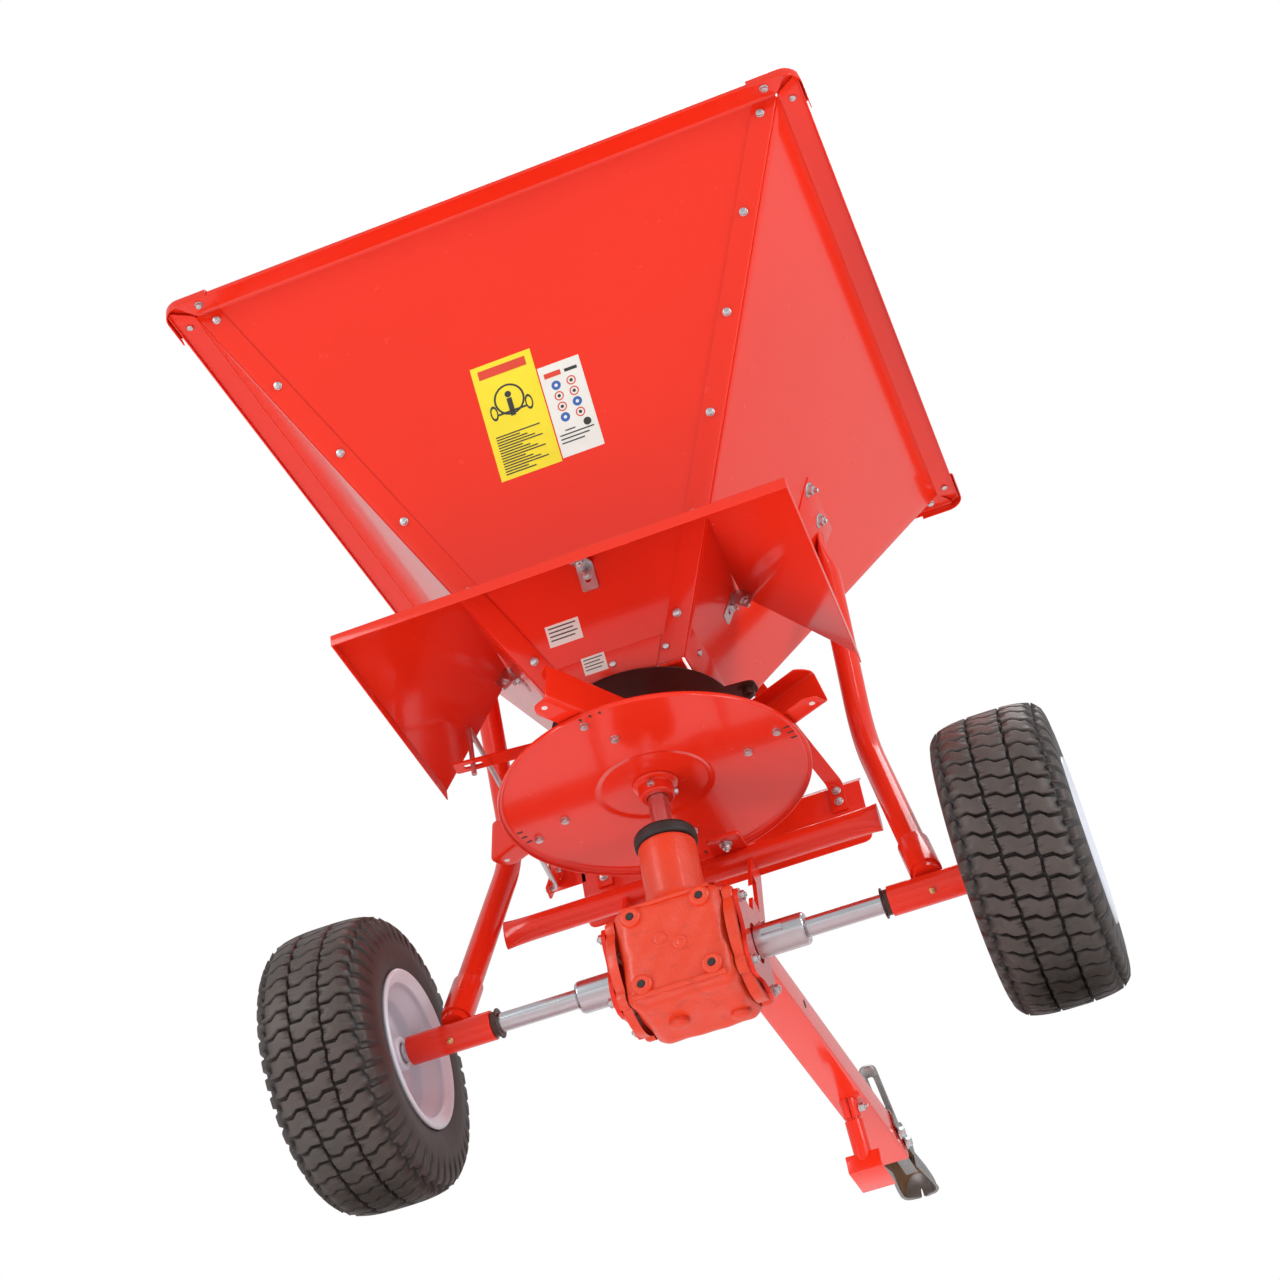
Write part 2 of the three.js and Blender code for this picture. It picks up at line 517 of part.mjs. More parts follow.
// ---- coupler ----
const NOSE = [0, 1566, 462]; // centre of the ball seat
const nose = (r, cutZ) => {
  const pts = [];
  for (let i = 0; i < 20; i++) {
    const a = (i / 20) * Math.PI * 2;
    pts.push([r * Math.cos(a), NOSE[1] + r * Math.sin(a), cutZ]);
    for (const e of [25, 50]) {
      const c = Math.cos(rad(e));
      pts.push([r * c * Math.cos(a), NOSE[1] + r * c * Math.sin(a), NOSE[2] + r * Math.sin(rad(e))]);
    }
  }
  pts.push([0, NOSE[1], NOSE[2] + r]);
  return pts;
};
const channel = (half, z0, z1, y0, y1) => [-half, half].flatMap((x) => [y0, y1].flatMap((y) => [[x, y, z0], [x, y, z1]]));
const couplerTop = barZ(1300) + BAR_H + 3;
const outerBody = join(
  hull([...channel(34.5, 446, couplerTop + 4, 1236, 1400), ...channel(27, 446, couplerTop + 12, 1400, 1440)]),
  hull([...channel(27, 446, couplerTop + 12, 1400, 1440), ...nose(36, 446)]),
);
const innerBody = join(
  hull([...channel(30.5, 430, couplerTop, 1230, 1398), ...channel(23, 430, couplerTop + 8, 1398, 1440)]),
  hull([...channel(23, 430, couplerTop + 8, 1396, 1440), ...nose(31, 430)]),
);
add("coupler_body", ZINC, cut(
  outerBody, innerBody,
  box(-7.4, 7.4, 1424, 1476, couplerTop - 5, 540),
  ...couplerBolts.map((y) => rod([-40, y, barZ(y) + 24], [40, y, barZ(y) + 24], 6.5, 16)),
));
const HANDLE_PIN = [0, 1408, couplerTop + 34];
const handlePoint = (s, h) => [HANDLE_PIN[1] - 0.86 * s + 0.51 * h, HANDLE_PIN[2] + 0.51 * s + 0.86 * h];
const handleOutline = [
  handlePoint(-12, -9), handlePoint(30, -9), handlePoint(150, -6), handlePoint(158, 2), handlePoint(150, 10), handlePoint(30, 10),
  handlePoint(-12, 9),
].map(([y, z]) => [y, z]);
const handleBar = plateX(handleOutline, -16, 32);
const handleSlot = plateX([handlePoint(48, -30), handlePoint(134, -30), handlePoint(134, 30), handlePoint(48, 30)], -7, 14);
add("coupler_handle", ZINC, cut(handleBar, handleSlot,
  rod([-20, HANDLE_PIN[1], HANDLE_PIN[2]], [20, HANDLE_PIN[1], HANDLE_PIN[2]], 5.3, 20)));
const lugs = [-1, 1].map((s) => {
  const x = [s * 17, s * 21].sort((a, b) => a - b);
  return hull([x[0], x[1]].flatMap((xx) => [
    [xx, 1392, couplerTop + 14.4], [xx, 1424, couplerTop + 14.4], [xx, 1400, HANDLE_PIN[2] + 10], [xx, 1416, HANDLE_PIN[2] + 10]]));
});
const pin = rod([-21, HANDLE_PIN[1], HANDLE_PIN[2]], [21, HANDLE_PIN[1], HANDLE_PIN[2]], 5, 20);
add("coupler_pin_lugs", ZINC, join(pin, ...lugs));
add("coupler_latch", ZINC, join(
  box(-7, 7, 1446, 1470, 470, couplerTop + 14),
  box(-12, 12, 1440, 1530, 468, 474),
));

// ---- guard plate in front of the disc ----
const guard = join(
  box(-GUARD_HALF, GUARD_HALF, GUARD_Y, GUARD_Y + SHEET, GUARD_Z[0], GUARD_Z[1]),
  hull([-GUARD_HALF, GUARD_HALF].flatMap((x) => [
    [x, GUARD_Y + 2, GUARD_Z[1] - 2], [x, GUARD_Y, GUARD_Z[1]], [x, GUARD_Y + 32, GUARD_Z[1] + 26], [x, GUARD_Y + 34, GUARD_Z[1] + 24]])),
);
for (const [name, side] of [["left", -1], ["right", 1]]) {
  const xs = [side * 188, side * 214].sort((a, b) => a - b);
  const high = [side * 118, side * 144].sort((a, b) => a - b);
  const at = (z) => frontY(z, SHEET + GAP);
  const topLeaf = slab(780, 850, () => high[0], () => high[1], (z) => at(z), (z) => at(z) + 3);
  const back = GUARD_Y - GAP - 3;
  const strapFall = hull([0, 1].flatMap((k) => [0, 3].flatMap((d) => [
    [high[k], at(780) + d, 780], [high[k], at(788) + d, 788], [xs[k], back + d, 640], [xs[k], back + d, 648]])));
  const lowLeaf = box(xs[0], xs[1], back, back + 3, 596, 648);
  add("guard_strap_" + name, RED, join(topLeaf, strapFall, lowLeaf));
}
add("guard_plate", RED, join(
  guard,
  box(-290, -230, GUARD_Y, GUARD_Y + SHEET, 616, 660),
  box(leverX - 22, leverX - 18, 344, GUARD_Y + SHEET, 626, 656),
  rod([leverX - 20, ...LEVER_PIN], [leverX - 6, ...LEVER_PIN], 5, 16),
));

// ---- gearbox ----
const rounded = (inset) => {
  const pts = [];
  const s = [-1, 1];
  for (const x of s) for (const y of s) for (const z of s) {
    for (const [a, b, c] of [[0, inset, inset], [inset, 0, inset], [inset, inset, 0]]) {
      pts.push([
        x * (CASE_HALF_X - a),
        y > 0 ? CASE_FRONT - b : CASE_BACK + b,
        z > 0 ? CASE_TOP - c : CASE_BOTTOM + c,
      ]);
    }
  }
  return pts;
};
const bosses = [-1, 1].flatMap((sx) => [-1, 1].map((sz) => [sx * BOSS_HALF[0], AXLE_Z + sz * BOSS_HALF[1]]));
const caseBody = join(
  hull(rounded(17)),
  rod([0, 0, CASE_TOP - 30], [0, 0, NECK_TOP], NECK_R, 36),
  ...bosses.map(([x, z]) => rod([x, CASE_BACK - 5, z], [x, CASE_BACK + 10, z], 14, 18)),
);
const caseCuts = [
  rod([-CASE_HALF_X - 2, 0, AXLE_Z], [CASE_HALF_X + 2, 0, AXLE_Z], CASE_BORE_R, 28),
  rod([0, 0, AXLE_Z], [0, 0, NECK_TOP - 24], 27, 32),
  rod([0, 0, NECK_TOP - 26], [0, 0, NECK_TOP + 2], 31, 32),
  ...bosses.map(([x, z]) => rod([x, CASE_BACK - 7, z], [x, CASE_BACK + 9, z], 5, 12)),
];
add("gearbox_case", CAST_RED, cut(caseBody, ...caseCuts));
for (const [name, side] of [["left", -1], ["right", 1]]) {
  const face = side * (CASE_HALF_X + GAP);
  const out = side * (CASE_HALF_X + COVER_T);
  const spigot = side * (CASE_HALF_X - 8);
  const disc = rod([face, 0, AXLE_Z], [out, 0, AXLE_Z], COVER_R - 6, 28);
  const ears = [45, 135, 225, 315].map((d) => {
    const y = (COVER_R - 8) * Math.cos(rad(d));
    const z = AXLE_Z + (COVER_R - 8) * Math.sin(rad(d));
    return rod([face, y, z], [out, y, z], 12, 10);
  });
  const bore = rod([side * 40, 0, AXLE_Z], [side * 120, 0, AXLE_Z], SLEEVE_R + 2, 24);
  const seat = rod([side * 40, 0, AXLE_Z], [side * (CASE_HALF_X + 4), 0, AXLE_Z], 40 + GAP, 32);
  const ring = rod([spigot, 0, AXLE_Z], [out, 0, AXLE_Z], CASE_BORE_R - GAP, 28);
  add("gearbox_cover_" + name, CAST_RED, cut(join(disc, ring, ...ears), bore, seat));
  const b0 = side * (CASE_HALF_X - 14);
  const b1 = side * (CASE_HALF_X + 4 - GAP);
  add("axle_bearing_" + name, STEEL, pipe([b0, 0, AXLE_Z], [b1, 0, AXLE_Z], 40, SLEEVE_R + GAP, 32));
}
add("neck_bearing", STEEL, pipe([0, 0, NECK_TOP - 23.5], [0, 0, NECK_TOP - 3], 31 - GAP, SHAFT_R + GAP, 28));
add("seal_ring", RUBBER, lathe([
  [SHAFT_R + 1, NECK_TOP + GAP], [45, NECK_TOP + GAP], [45, NECK_TOP + 10], [40, NECK_TOP + 14], [SHAFT_R + 1, NECK_TOP + 14],
  [SHAFT_R + 1, NECK_TOP + GAP]], 28));

// Bevel gears on one pitch cone: the tooth gaps are straight notches, and the tips stay just clear of the mate.
const GEAR_WHEEL = { teeth: 16, r: 54 };
const GEAR_PINION = { teeth: 8, r: 26.4 };
const GEAR_FACE = 16; // drop in radius across the wheel's teeth
const GEAR_BACK = 3;
function bevel(teeth, rOuter, rInner, rise, bore) {
  const top = GEAR_BACK + rise;
  const profile = [[bore, 0], [rOuter, 0], [rOuter, GEAR_BACK], [rInner, top], [bore, top], [bore, 0]];
  let body = lathe(profile, teeth * 2);
  const slope = Math.atan2(rise, rOuter - rInner);
  for (let i = 0; i < teeth; i++) {
    const notch = new THREE.BoxGeometry(rOuter * 1.2, ((Math.PI * rOuter) / teeth) * 0.8, 8);
    notch.rotateY(slope);
    notch.translate((rOuter + rInner) / 2, 0, GEAR_BACK + rise / 2);
    notch.rotateZ((i / teeth) * Math.PI * 2);
    body = cut(body, solid(notch));
  }
  return body;
}
const wheelGear = bevel(GEAR_WHEEL.teeth, GEAR_WHEEL.r, GEAR_WHEEL.r - GEAR_FACE, GEAR_FACE / 2, SLEEVE_R + GAP);
const wheelBack = -GEAR_WHEEL.r / 2 - GEAR_BACK;
add("bevel_wheel", STEEL, wheelGear.transform([0, 0, -1, 0, 0, 1, 0, 0, 1, 0, 0, 0, wheelBack, 0, AXLE_Z, 1]));
const pinionGear = bevel(GEAR_PINION.teeth, GEAR_PINION.r, GEAR_PINION.r - GEAR_FACE / 2, GEAR_FACE, SHAFT_R - 3 + GAP);
const pinionBack = AXLE_Z + GEAR_WHEEL.r + GEAR_BACK;
add("bevel_pinion", STEEL, pinionGear.transform([1, 0, 0, 0, 0, -1, 0, 0, 0, 0, -1, 0, 0, 0, pinionBack, 1]));

// ---- rotor ----
add("output_shaft", STEEL, join(
  rod([0, 0, pinionBack + GAP], [0, 0, 704], SHAFT_R, 28),
  rod([0, 0, AXLE_Z + 40], [0, 0, pinionBack + 1], SHAFT_R - 3, 24),
));
const step = 3;
add("spreading_disc", RED, lathe([
  [SHAFT_R + GAP, DISC_Z + step], [DISC_STEP_R - 3, DISC_Z + step], [DISC_STEP_R + 3, DISC_Z], [DISC_R - SHEET - 4, DISC_Z],
  [DISC_R - SHEET, DISC_Z - 4], [DISC_R - SHEET, DISC_Z - DISC_LIP], [DISC_R, DISC_Z - DISC_LIP], [DISC_R, DISC_Z - 1],
  [DISC_R - 4, DISC_Z + SHEET], [DISC_STEP_R + 3, DISC_Z + SHEET], [DISC_STEP_R - 3, DISC_Z + step + SHEET],
  [SHAFT_R + GAP, DISC_Z + step + SHEET], [SHAFT_R + GAP, DISC_Z + step],
], 52));
const HUB_TOP = DISC_Z + step - GAP;
const hubBody = lathe([
  [SHAFT_R + GAP, HUB_TOP - 24], [24, HUB_TOP - 24], [25, HUB_TOP - 22], [25, HUB_TOP - 5], [33, HUB_TOP - 5], [33, HUB_TOP],
  [SHAFT_R + GAP, HUB_TOP], [SHAFT_R + GAP, HUB_TOP - 24]], 36);
add("disc_hub", RED, cut(hubBody, rod([0, -40, HUB_TOP - 14], [0, -10, HUB_TOP - 14], 4, 12)));
for (let i = 0; i < 4; i++) {
  const floor = DISC_Z + SHEET + GAP;
  const section = (y0, y1, z0, z1) => box(0, VANE_L, y0, y1, z0, z1);
  const webTop = floor + VANE_H;
  const vane = join(
    section(0, SHEET, floor, webTop),
    section(-VANE_FLANGE, SHEET, floor, floor + SHEET),
    section(-VANE_FLANGE * 0.75, SHEET, webTop - SHEET, webTop),
  );
  const holes = [54, 112].map((s) => rod([s, -18, floor - 1], [s, -18, floor + 4], 4.2, 12));
  const cornerCut = plate([[VANE_L - 14, -40], [VANE_L + 2, -40], [VANE_L + 2, -22]], floor - 1, 5);
  const a = rad(VANE_DIR);
  const turn = rad(90 * i);
  const c = Math.cos(a + turn);
  const s = Math.sin(a + turn);
  const off = 17;
  const ox = VANE_INNER[0] - off * Math.sin(a);
  const oy = VANE_INNER[1] + off * Math.cos(a);
  const px = ox * Math.cos(turn) - oy * Math.sin(turn);
  const py = ox * Math.sin(turn) + oy * Math.cos(turn);
  add("vane_" + (i + 1), RED, cut(vane, ...holes, cornerCut).transform([c, s, 0, 0, -s, c, 0, 0, 0, 0, 1, 0, px, py, 0, 1]));
}
const agitatorHub = pipe([0, 0, 640], [0, 0, 690], SHAFT_R + 9, SHAFT_R + GAP, 28);
const fingers = [[1, 650], [-1, 675]].map(([s, z]) => join(
  rod([s * 20, 0, z], [s * 62, 0, z], 5, 12), rod([s * 60, 0, z - 4], [s * 60, 0, z + 44], 5, 12)));
add("agitator", ZINC, join(agitatorHub, ...fingers));

// ---- axle and wheels ----
add("axle_shaft", STEEL, rod([-WHEEL_X - 60, 0, AXLE_Z], [WHEEL_X + 60, 0, AXLE_Z], AXLE_R, 28));
for (const [name, side] of [["left", -1], ["right", 1]]) {
  const inner = side > 0 ? GAP / 2 : -GAP / 2;
  const end = side * (SLEEVE_END - (side < 0 ? 10 : 0));
  let sleeve = pipe([inner, 0, AXLE_Z], [end, 0, AXLE_Z], SLEEVE_R, AXLE_R + GAP, 32);
  if (side > 0) sleeve = join(sleeve, box(112, 142, -SLEEVE_R - 3, -SLEEVE_R + 4, AXLE_Z - 4, AXLE_Z + 4));
  add("drive_sleeve_" + name, STEEL, sleeve);
  const tube = pipe([side * HUB_TUBE_IN, 0, AXLE_Z], [side * HUB_TUBE_OUT, 0, AXLE_Z], HUB_TUBE_R, AXLE_R + 3, 32);
  add("hub_tube_" + name, RED, tube);
  const bush = join(
    pipe([side * (HUB_TUBE_IN - 7), 0, AXLE_Z], [side * (HUB_TUBE_IN - GAP), 0, AXLE_Z], 18, AXLE_R + GAP, 20),
    pipe([side * (HUB_TUBE_IN - 2), 0, AXLE_Z], [side * (HUB_TUBE_IN + 24), 0, AXLE_Z], AXLE_R + 3 - GAP, AXLE_R + GAP, 20),
  );
  add("hub_bush_" + name, BRASS, bush);
  // rim: one pressed wheel with a hub, turned about the axle
  const rimProfile = [
    [AXLE_R + GAP, -58], [24, -58], [24, -12], [70, -16], [84, -52], [97, -62], [97, -74], [113, -84], [100.5, -70],
    [100.5, -57], [88, -48], [88, 48], [100.5, 57], [100.5, 70], [113, 84], [97, 74], [97, 62], [84, 52], [82, -6],
    [70, -10], [24, -6], [24, 52], [AXLE_R + GAP, 52], [AXLE_R + GAP, -58],
  ];
  add("rim_" + name, RIM, latheX(rimProfile, side * WHEEL_X, 36, side));
  const tyreProfile = [
    [BEAD_R, -68], [118, -76.5], [155, -TYRE_HALF], [186, -78], [198, -58], [TYRE_R, -18], [TYRE_R, 18], [198, 58],
    [186, 78], [155, TYRE_HALF], [118, 76.5], [BEAD_R, 68], [BEAD_R, 58], [140, 71], [184, 60], [184, -60], [140, -71],
    [BEAD_R, -58], [BEAD_R, -68],
  ];
  add("tyre_" + name, TYRE, latheX(tyreProfile, side * WHEEL_X, 36, side));
}

// Put the middle of the object's length over the origin.
group.updateMatrixWorld(true);
const bounds = new THREE.Box3().setFromObject(group);
const shift = -Math.round((bounds.min.y + bounds.max.y) * 50) / 100;
for (const mesh of group.children) mesh.geometry.translate(0, shift, 0);
export default group;
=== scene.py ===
"""A tow-behind garden spreader, built as an add-on: each operator makes one piece, or one group of
like pieces.

Lengths inside the builders are millimetres, measured from the middle of the axle's line on the ground:
x to the right, y forward along the drawbar, z up. Shape.make() turns them into metres in the row frame.
"""

from math import cos, hypot, pi, radians, sin

import bpy
import numpy as np
from bpy.props import FloatProperty, FloatVectorProperty, IntProperty, PointerProperty
from mathutils import Matrix, Vector


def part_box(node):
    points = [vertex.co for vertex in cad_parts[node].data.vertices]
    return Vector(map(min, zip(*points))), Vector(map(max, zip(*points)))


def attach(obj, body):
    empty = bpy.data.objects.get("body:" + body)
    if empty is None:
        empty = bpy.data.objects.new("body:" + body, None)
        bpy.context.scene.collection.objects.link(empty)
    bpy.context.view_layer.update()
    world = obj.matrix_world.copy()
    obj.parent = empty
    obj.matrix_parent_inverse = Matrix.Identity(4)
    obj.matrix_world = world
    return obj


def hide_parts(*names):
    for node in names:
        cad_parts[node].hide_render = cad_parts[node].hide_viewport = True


bl_info = {
    "name": "Garden spreader",
    "version": (1, 0, 0),
    "blender": (4, 5, 0),
    "location": "View3D > Sidebar > Spreader",
    "description": "Builds a tow-behind broadcast spreader piece by piece",
    "category": "Object",
}

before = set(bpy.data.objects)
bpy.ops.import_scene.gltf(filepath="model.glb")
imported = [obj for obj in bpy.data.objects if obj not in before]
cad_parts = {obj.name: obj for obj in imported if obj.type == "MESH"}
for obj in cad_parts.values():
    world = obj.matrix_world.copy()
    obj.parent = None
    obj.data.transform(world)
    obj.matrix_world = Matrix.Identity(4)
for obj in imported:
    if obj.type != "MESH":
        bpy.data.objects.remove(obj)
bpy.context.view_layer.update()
AXLE_LOW, AXLE_HIGH = (np.array(v) * 1000 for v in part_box("axle_shaft"))
FORWARD = float(AXLE_LOW[1] + AXLE_HIGH[1]) / 2
AXLE_Z = float(AXLE_LOW[2] + AXLE_HIGH[2]) / 2
MATERIALS = {}


# ---------------------------------------------------------------- settings
def length(name, text, default):
    return FloatProperty(name=name, description=text, default=default, unit="NONE", subtype="NONE")


class SpreaderSizes(bpy.types.PropertyGroup):
    """Driving sizes, in millimetres."""

    rim_z: length("Rim height", "Height of the hopper's flanges", 1312)
    rim_half: length("Rim half width", "From the middle to the rim's edge", 515)
    rim_back: length("Rim rear", "Rear edge of the rim", -466)
    rim_front: length("Rim front", "Front edge of the rim", 626)
    flange: length("Flange", "Width of the rim flanges", 37)
    lip: length("Lip", "Drop of each flange's lip", 10)
    outlet_z: length("Outlet height", "Lower edge of the hopper panels", 624)
    outlet_half: length("Outlet half width", "Half width of the hopper at its outlet", 100)
    outlet_back: length("Outlet rear", "Rear inner edge of the outlet", -104)
    outlet_front: length("Outlet front", "Front inner edge of the outlet", 84)
    strip: length("Strip", "Width of the folded corner strips", 38)
    sheet: length("Sheet", "Thickness of the steel sheet", 2)
    disc_r: length("Disc radius", "Radius of the spreading disc", 230)
    disc_z: length("Disc height", "Underside of the disc's plate", 500)
    neck_top: length("Neck top", "Top of the gearbox's neck", 394)
    tube_r: length("Tube radius", "Radius of the frame tubes", 19)
    wheel_x: length("Wheel", "From the middle to a wheel's middle", 485)
    tyre_r: length("Tyre radius", "Radius over the tread", 203.2)
    tyre_half: length("Tyre half width", "Half width over the sidewalls", 82.5)
    hub_in: length("Hub tube", "Inner end of a hub tube", 290)
    hub_out: length("Hub tube end", "Outer end of a hub tube", 417)
    sleeve_end: length("Sleeve", "Outer end of the drive sleeves", 172)
    guard_y: length("Guard", "Rear face of the guard plate", 377)
    tread_steps: IntProperty(name="Tread steps", description="Divisions round a tyre", default=1196, min=92)


class SpreaderColours(bpy.types.PropertyGroup):
    """Base colours of the finishes."""

    red: FloatVectorProperty(name="Red", description="Glossy paint", subtype="COLOR", size=3,
                             default=(0.82, 0.027, 0.008))
    cast: FloatVectorProperty(name="Casting", description="Painted casting", subtype="COLOR", size=3,
                              default=(0.80, 0.055, 0.014))
    zinc: FloatVectorProperty(name="Zinc", description="Zinc plate", subtype="COLOR", size=3,
                              default=(0.60, 0.60, 0.61))
    steel: FloatVectorProperty(name="Steel", description="Bare steel", subtype="COLOR", size=3,
                               default=(0.66, 0.67, 0.70))
    dark: FloatVectorProperty(name="Dark", description="Dark plate", subtype="COLOR", size=3,
                              default=(0.055, 0.022, 0.016))
    tyre: FloatVectorProperty(name="Tyre", description="Tyre rubber", subtype="COLOR", size=3,
                              default=(0.062, 0.046, 0.040))
    rim: FloatVectorProperty(name="Rim", description="Wheel rims", subtype="COLOR", size=3,
                             default=(0.73, 0.76, 0.83))
    yellow: FloatVectorProperty(name="Yellow", description="Caution label", subtype="COLOR", size=3,
                                default=(0.88, 0.72, 0.02))


def sizes():
    return bpy.context.scene.spreader_sizes


# ---------------------------------------------------------------- surfaces
class Shape:
    """Grids of points gathered into one mesh. Every grid is an array of rows by columns by 3."""

    def __init__(self):
        self.points, self.quads, self.polygons, self.count = [], [], [], 0

    def grid(self, p, around=False, along=False, flip=False):
        """Quads between neighbouring rows and columns; around closes the columns and along closes
        the rows."""
        p = np.asarray(p, float)
        n, m = p.shape[:2]
        index = np.arange(n * m).reshape(n, m) + self.count
        rows = np.concatenate([index, index[:1]]) if along else index
        both = np.concatenate([rows, rows[:, :1]], 1) if around else rows
        quad = np.stack([both[:-1, :-1], both[:-1, 1:], both[1:, 1:], both[1:, :-1]], -1).reshape(-1, 4)
        self.quads.append(quad[:, ::-1] if flip else quad)
        self.points.append(p.reshape(-1, 3))
        self.count += n * m
        return self

    def solid(self, p, flip=False):
        """A grid closed round its columns, with its first and last rows filled in."""
        p = np.asarray(p, float)
        start = self.count
        self.grid(p, around=True, flip=flip)
        n, m = p.shape[:2]
        first = list(range(start, start + m))
        last = list(range(start + (n - 1) * m, start + n * m))
        self.polygons += [first if flip else first[::-1], last[::-1] if flip else last]
        return self

    def flat(self, corners, *faces):
        """Flat faces that share the given corner points."""
        corners = np.asarray(corners, float)
        self.polygons += [[self.count + i for i in f] for f in faces]
        self.points.append(corners)
        self.count += len(corners)
        return self

    def make(self, name, finish, body, replaces=(), smooth=40, slot=None):
        """Writes the mesh in metres, gives it a finish and lets it ride on a body."""
        points = np.concatenate(self.points) + [0, FORWARD, 0]
        quads = np.concatenate(self.quads) if self.quads else np.zeros((0, 4), int)
        mesh = bpy.data.meshes.new(name)
        loops = np.concatenate([quads.ravel(), np.array([i for f in self.polygons for i in f], int)])
        sides = np.concatenate([np.full(len(quads), 4), np.array([len(f) for f in self.polygons], int)])
        mesh.vertices.add(len(points))
        mesh.vertices.foreach_set("co", (points * 0.001).astype(np.float32).ravel())
        mesh.loops.add(len(loops))
        mesh.loops.foreach_set("vertex_index", loops.astype(np.int32))
        mesh.polygons.add(len(sides))
        mesh.polygons.foreach_set("loop_start", (np.cumsum(sides) - sides).astype(np.int32))
        mesh.polygons.foreach_set("use_smooth", np.ones(len(sides), bool))
        mesh.update(calc_edges=True)
        mesh.validate()
        if smooth:
            mesh.set_sharp_from_angle(angle=radians(smooth))
        mesh.materials.append(MATERIALS[finish])
        thing = bpy.data.objects.new(name, mesh)
        bpy.context.scene.collection.objects.link(thing)
        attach(thing, body)
        if replaces:
            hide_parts(*replaces)
        return thing


def thicken(thing, thickness, offset=-1.0, bevel=0.5, segments=2):
    """Gives a sheet its thickness in millimetres, and rounds its edges and folds."""
    if thickness:
        solid = thing.modifiers.new("thickness", "SOLIDIFY")
        solid.thickness = thickness * 0.001
        solid.offset = offset
        solid.use_even_offset = True
    if bevel:
        edge = thing.modifiers.new("edges", "BEVEL")
        edge.width = bevel * 0.001
        edge.segments = segments
        edge.limit_method = "ANGLE"
        edge.angle_limit = radians(32)
    return thing


def axes_of(direction):
    """Two unit vectors square to a direction, and the direction itself."""
    d = np.array(direction, float)
    d = d / np.linalg.norm(d)
    side = np.cross(d, [0, 0, 1.0] if abs(d[2]) < 0.9 else [1.0, 0, 0])
    side = side / np.linalg.norm(side)
    return side, np.cross(side, d), d


def turned(profile, centre, direction, steps=96, outline=None):
    """A profile of [radius, height] turned about a line: radius times (cos t, sin t) square to the
    line, plus height along it."""
    profile = np.array(profile, float)
    side, up, d = axes_of(direction)
    t = np.linspace(0, 2 * pi, steps, endpoint=False)
    swell = np.ones(steps) if outline is None else outline(t)
    ring = np.cos(t)[:, None] * side - np.sin(t)[:, None] * up
    return np.array(centre, float) + profile[:, 0, None, None] * (ring * swell[:, None]) + profile[:, 1,
        None, None] * d


def rounded(profile, radius, steps=4):
    """The open or closed polyline with each corner replaced by a quadratic curve that starts radius
    away from it."""
    p = np.array(profile, float)
    closed = np.allclose(p[0], p[-1])
    core = p[:-1] if closed else p
    out = [] if closed else [core[0]]
    u = np.linspace(0, 1, steps + 1)[:, None]
    picks = range(len(core)) if closed else range(1, len(core) - 1)
    for i in picks:
        a, b, c = core[i - 1], core[i], core[(i + 1) % len(core)]
        la, lc = np.linalg.norm(a - b), np.linalg.norm(c - b)
        start = b + (a - b) * min(radius, la * 0.45) / la
        end = b + (c - b) * min(radius, lc * 0.45) / lc
        out.extend((1 - u) ** 2 * start + 2 * u * (1 - u) * b + u**2 * end)
    if closed:
        out.append(out[0])
    else:
        out.append(core[-1])
    return np.array(out)


def swept(path, section):
    """A section of [across, up] points carried along a path; section may be one outline or one for
    each path point."""
    path = np.array(path, float)
    step = np.linalg.norm(np.diff(path, axis=0), axis=1)
    path = path[np.concatenate([[True], step > 0.01])]
    tangent = np.gradient(path, axis=0)
    tangent /= np.linalg.norm(tangent, axis=1)[:, None]
    side, up, _ = axes_of(tangent[0])
    rows = []
    for i, t in enumerate(tangent):
        side = side - t * np.dot(side, t)
        side /= np.linalg.norm(side)
        up = np.cross(side, t)
        s = section[i] if np.ndim(section) == 3 else section
        rows.append(path[i] + s[:, :1] * side + s[:, 1:] * up)
    return np.array(rows)


def circle(r, steps=48, wide=1.0, high=1.0):
    t = np.linspace(0, 2 * pi, steps, endpoint=False)
    return np.stack([r * wide * np.cos(t), r * high * np.sin(t)], 1)


def box_outline(w, h, r, steps=5):
    """A rectangle with corners of radius r, without its closing point."""
    outline = rounded([[-w, -h], [w, -h], [w, h], [-w, h], [-w, -h]], r, steps)
    return outline[:-1]


def spaced(a, b, n):
    return np.array(a, float) + np.linspace(0, 1, n)[:, None] * (np.array(b, float) - np.array(a, float))


def tube_profile(r0, r1, length_, bevel=1.0):
    """Wall of a tube from inner radius r0 to outer radius r1, as a closed [radius, height] profile."""
    return rounded([[r0, 0], [r1, 0], [r1, length_], [r0, length_], [r0, 0]], bevel, 3)


def hexagon(t):
    """Radius of a hexagon of unit inscribed radius at angle t."""
    return 1 / np.cos((t % (pi / 3)) - pi / 6)


def bolt(shape, place, direction, across=10.0, head=5.0, washer=7.5, stud=0.0, steps=24):
    """A hexagon head on a washer: rings at rising heights whose radius follows a hexagon, with a
    chamfered top."""
    place = np.array(place, float)
    half = across / 2
    rings = [[washer, -0.6], [washer, 1.0], [washer - 0.5, 1.4]]
    shape.solid(turned(rings, place, direction, steps))
    low = turned([[half, 1.2], [half, head + 0.6]], place, direction, steps, hexagon)
    top = turned([[half * 0.99, head + 1.2], [half * 0.86, head + 1.5]], place, direction, steps)
    shape.solid(np.concatenate([low, top]))
    if stud:
        shape.solid(turned([[half * 0.52, head], [half * 0.52, head + stud - 0.8],
                            [half * 0.42, head + stud]], place, direction, 12))


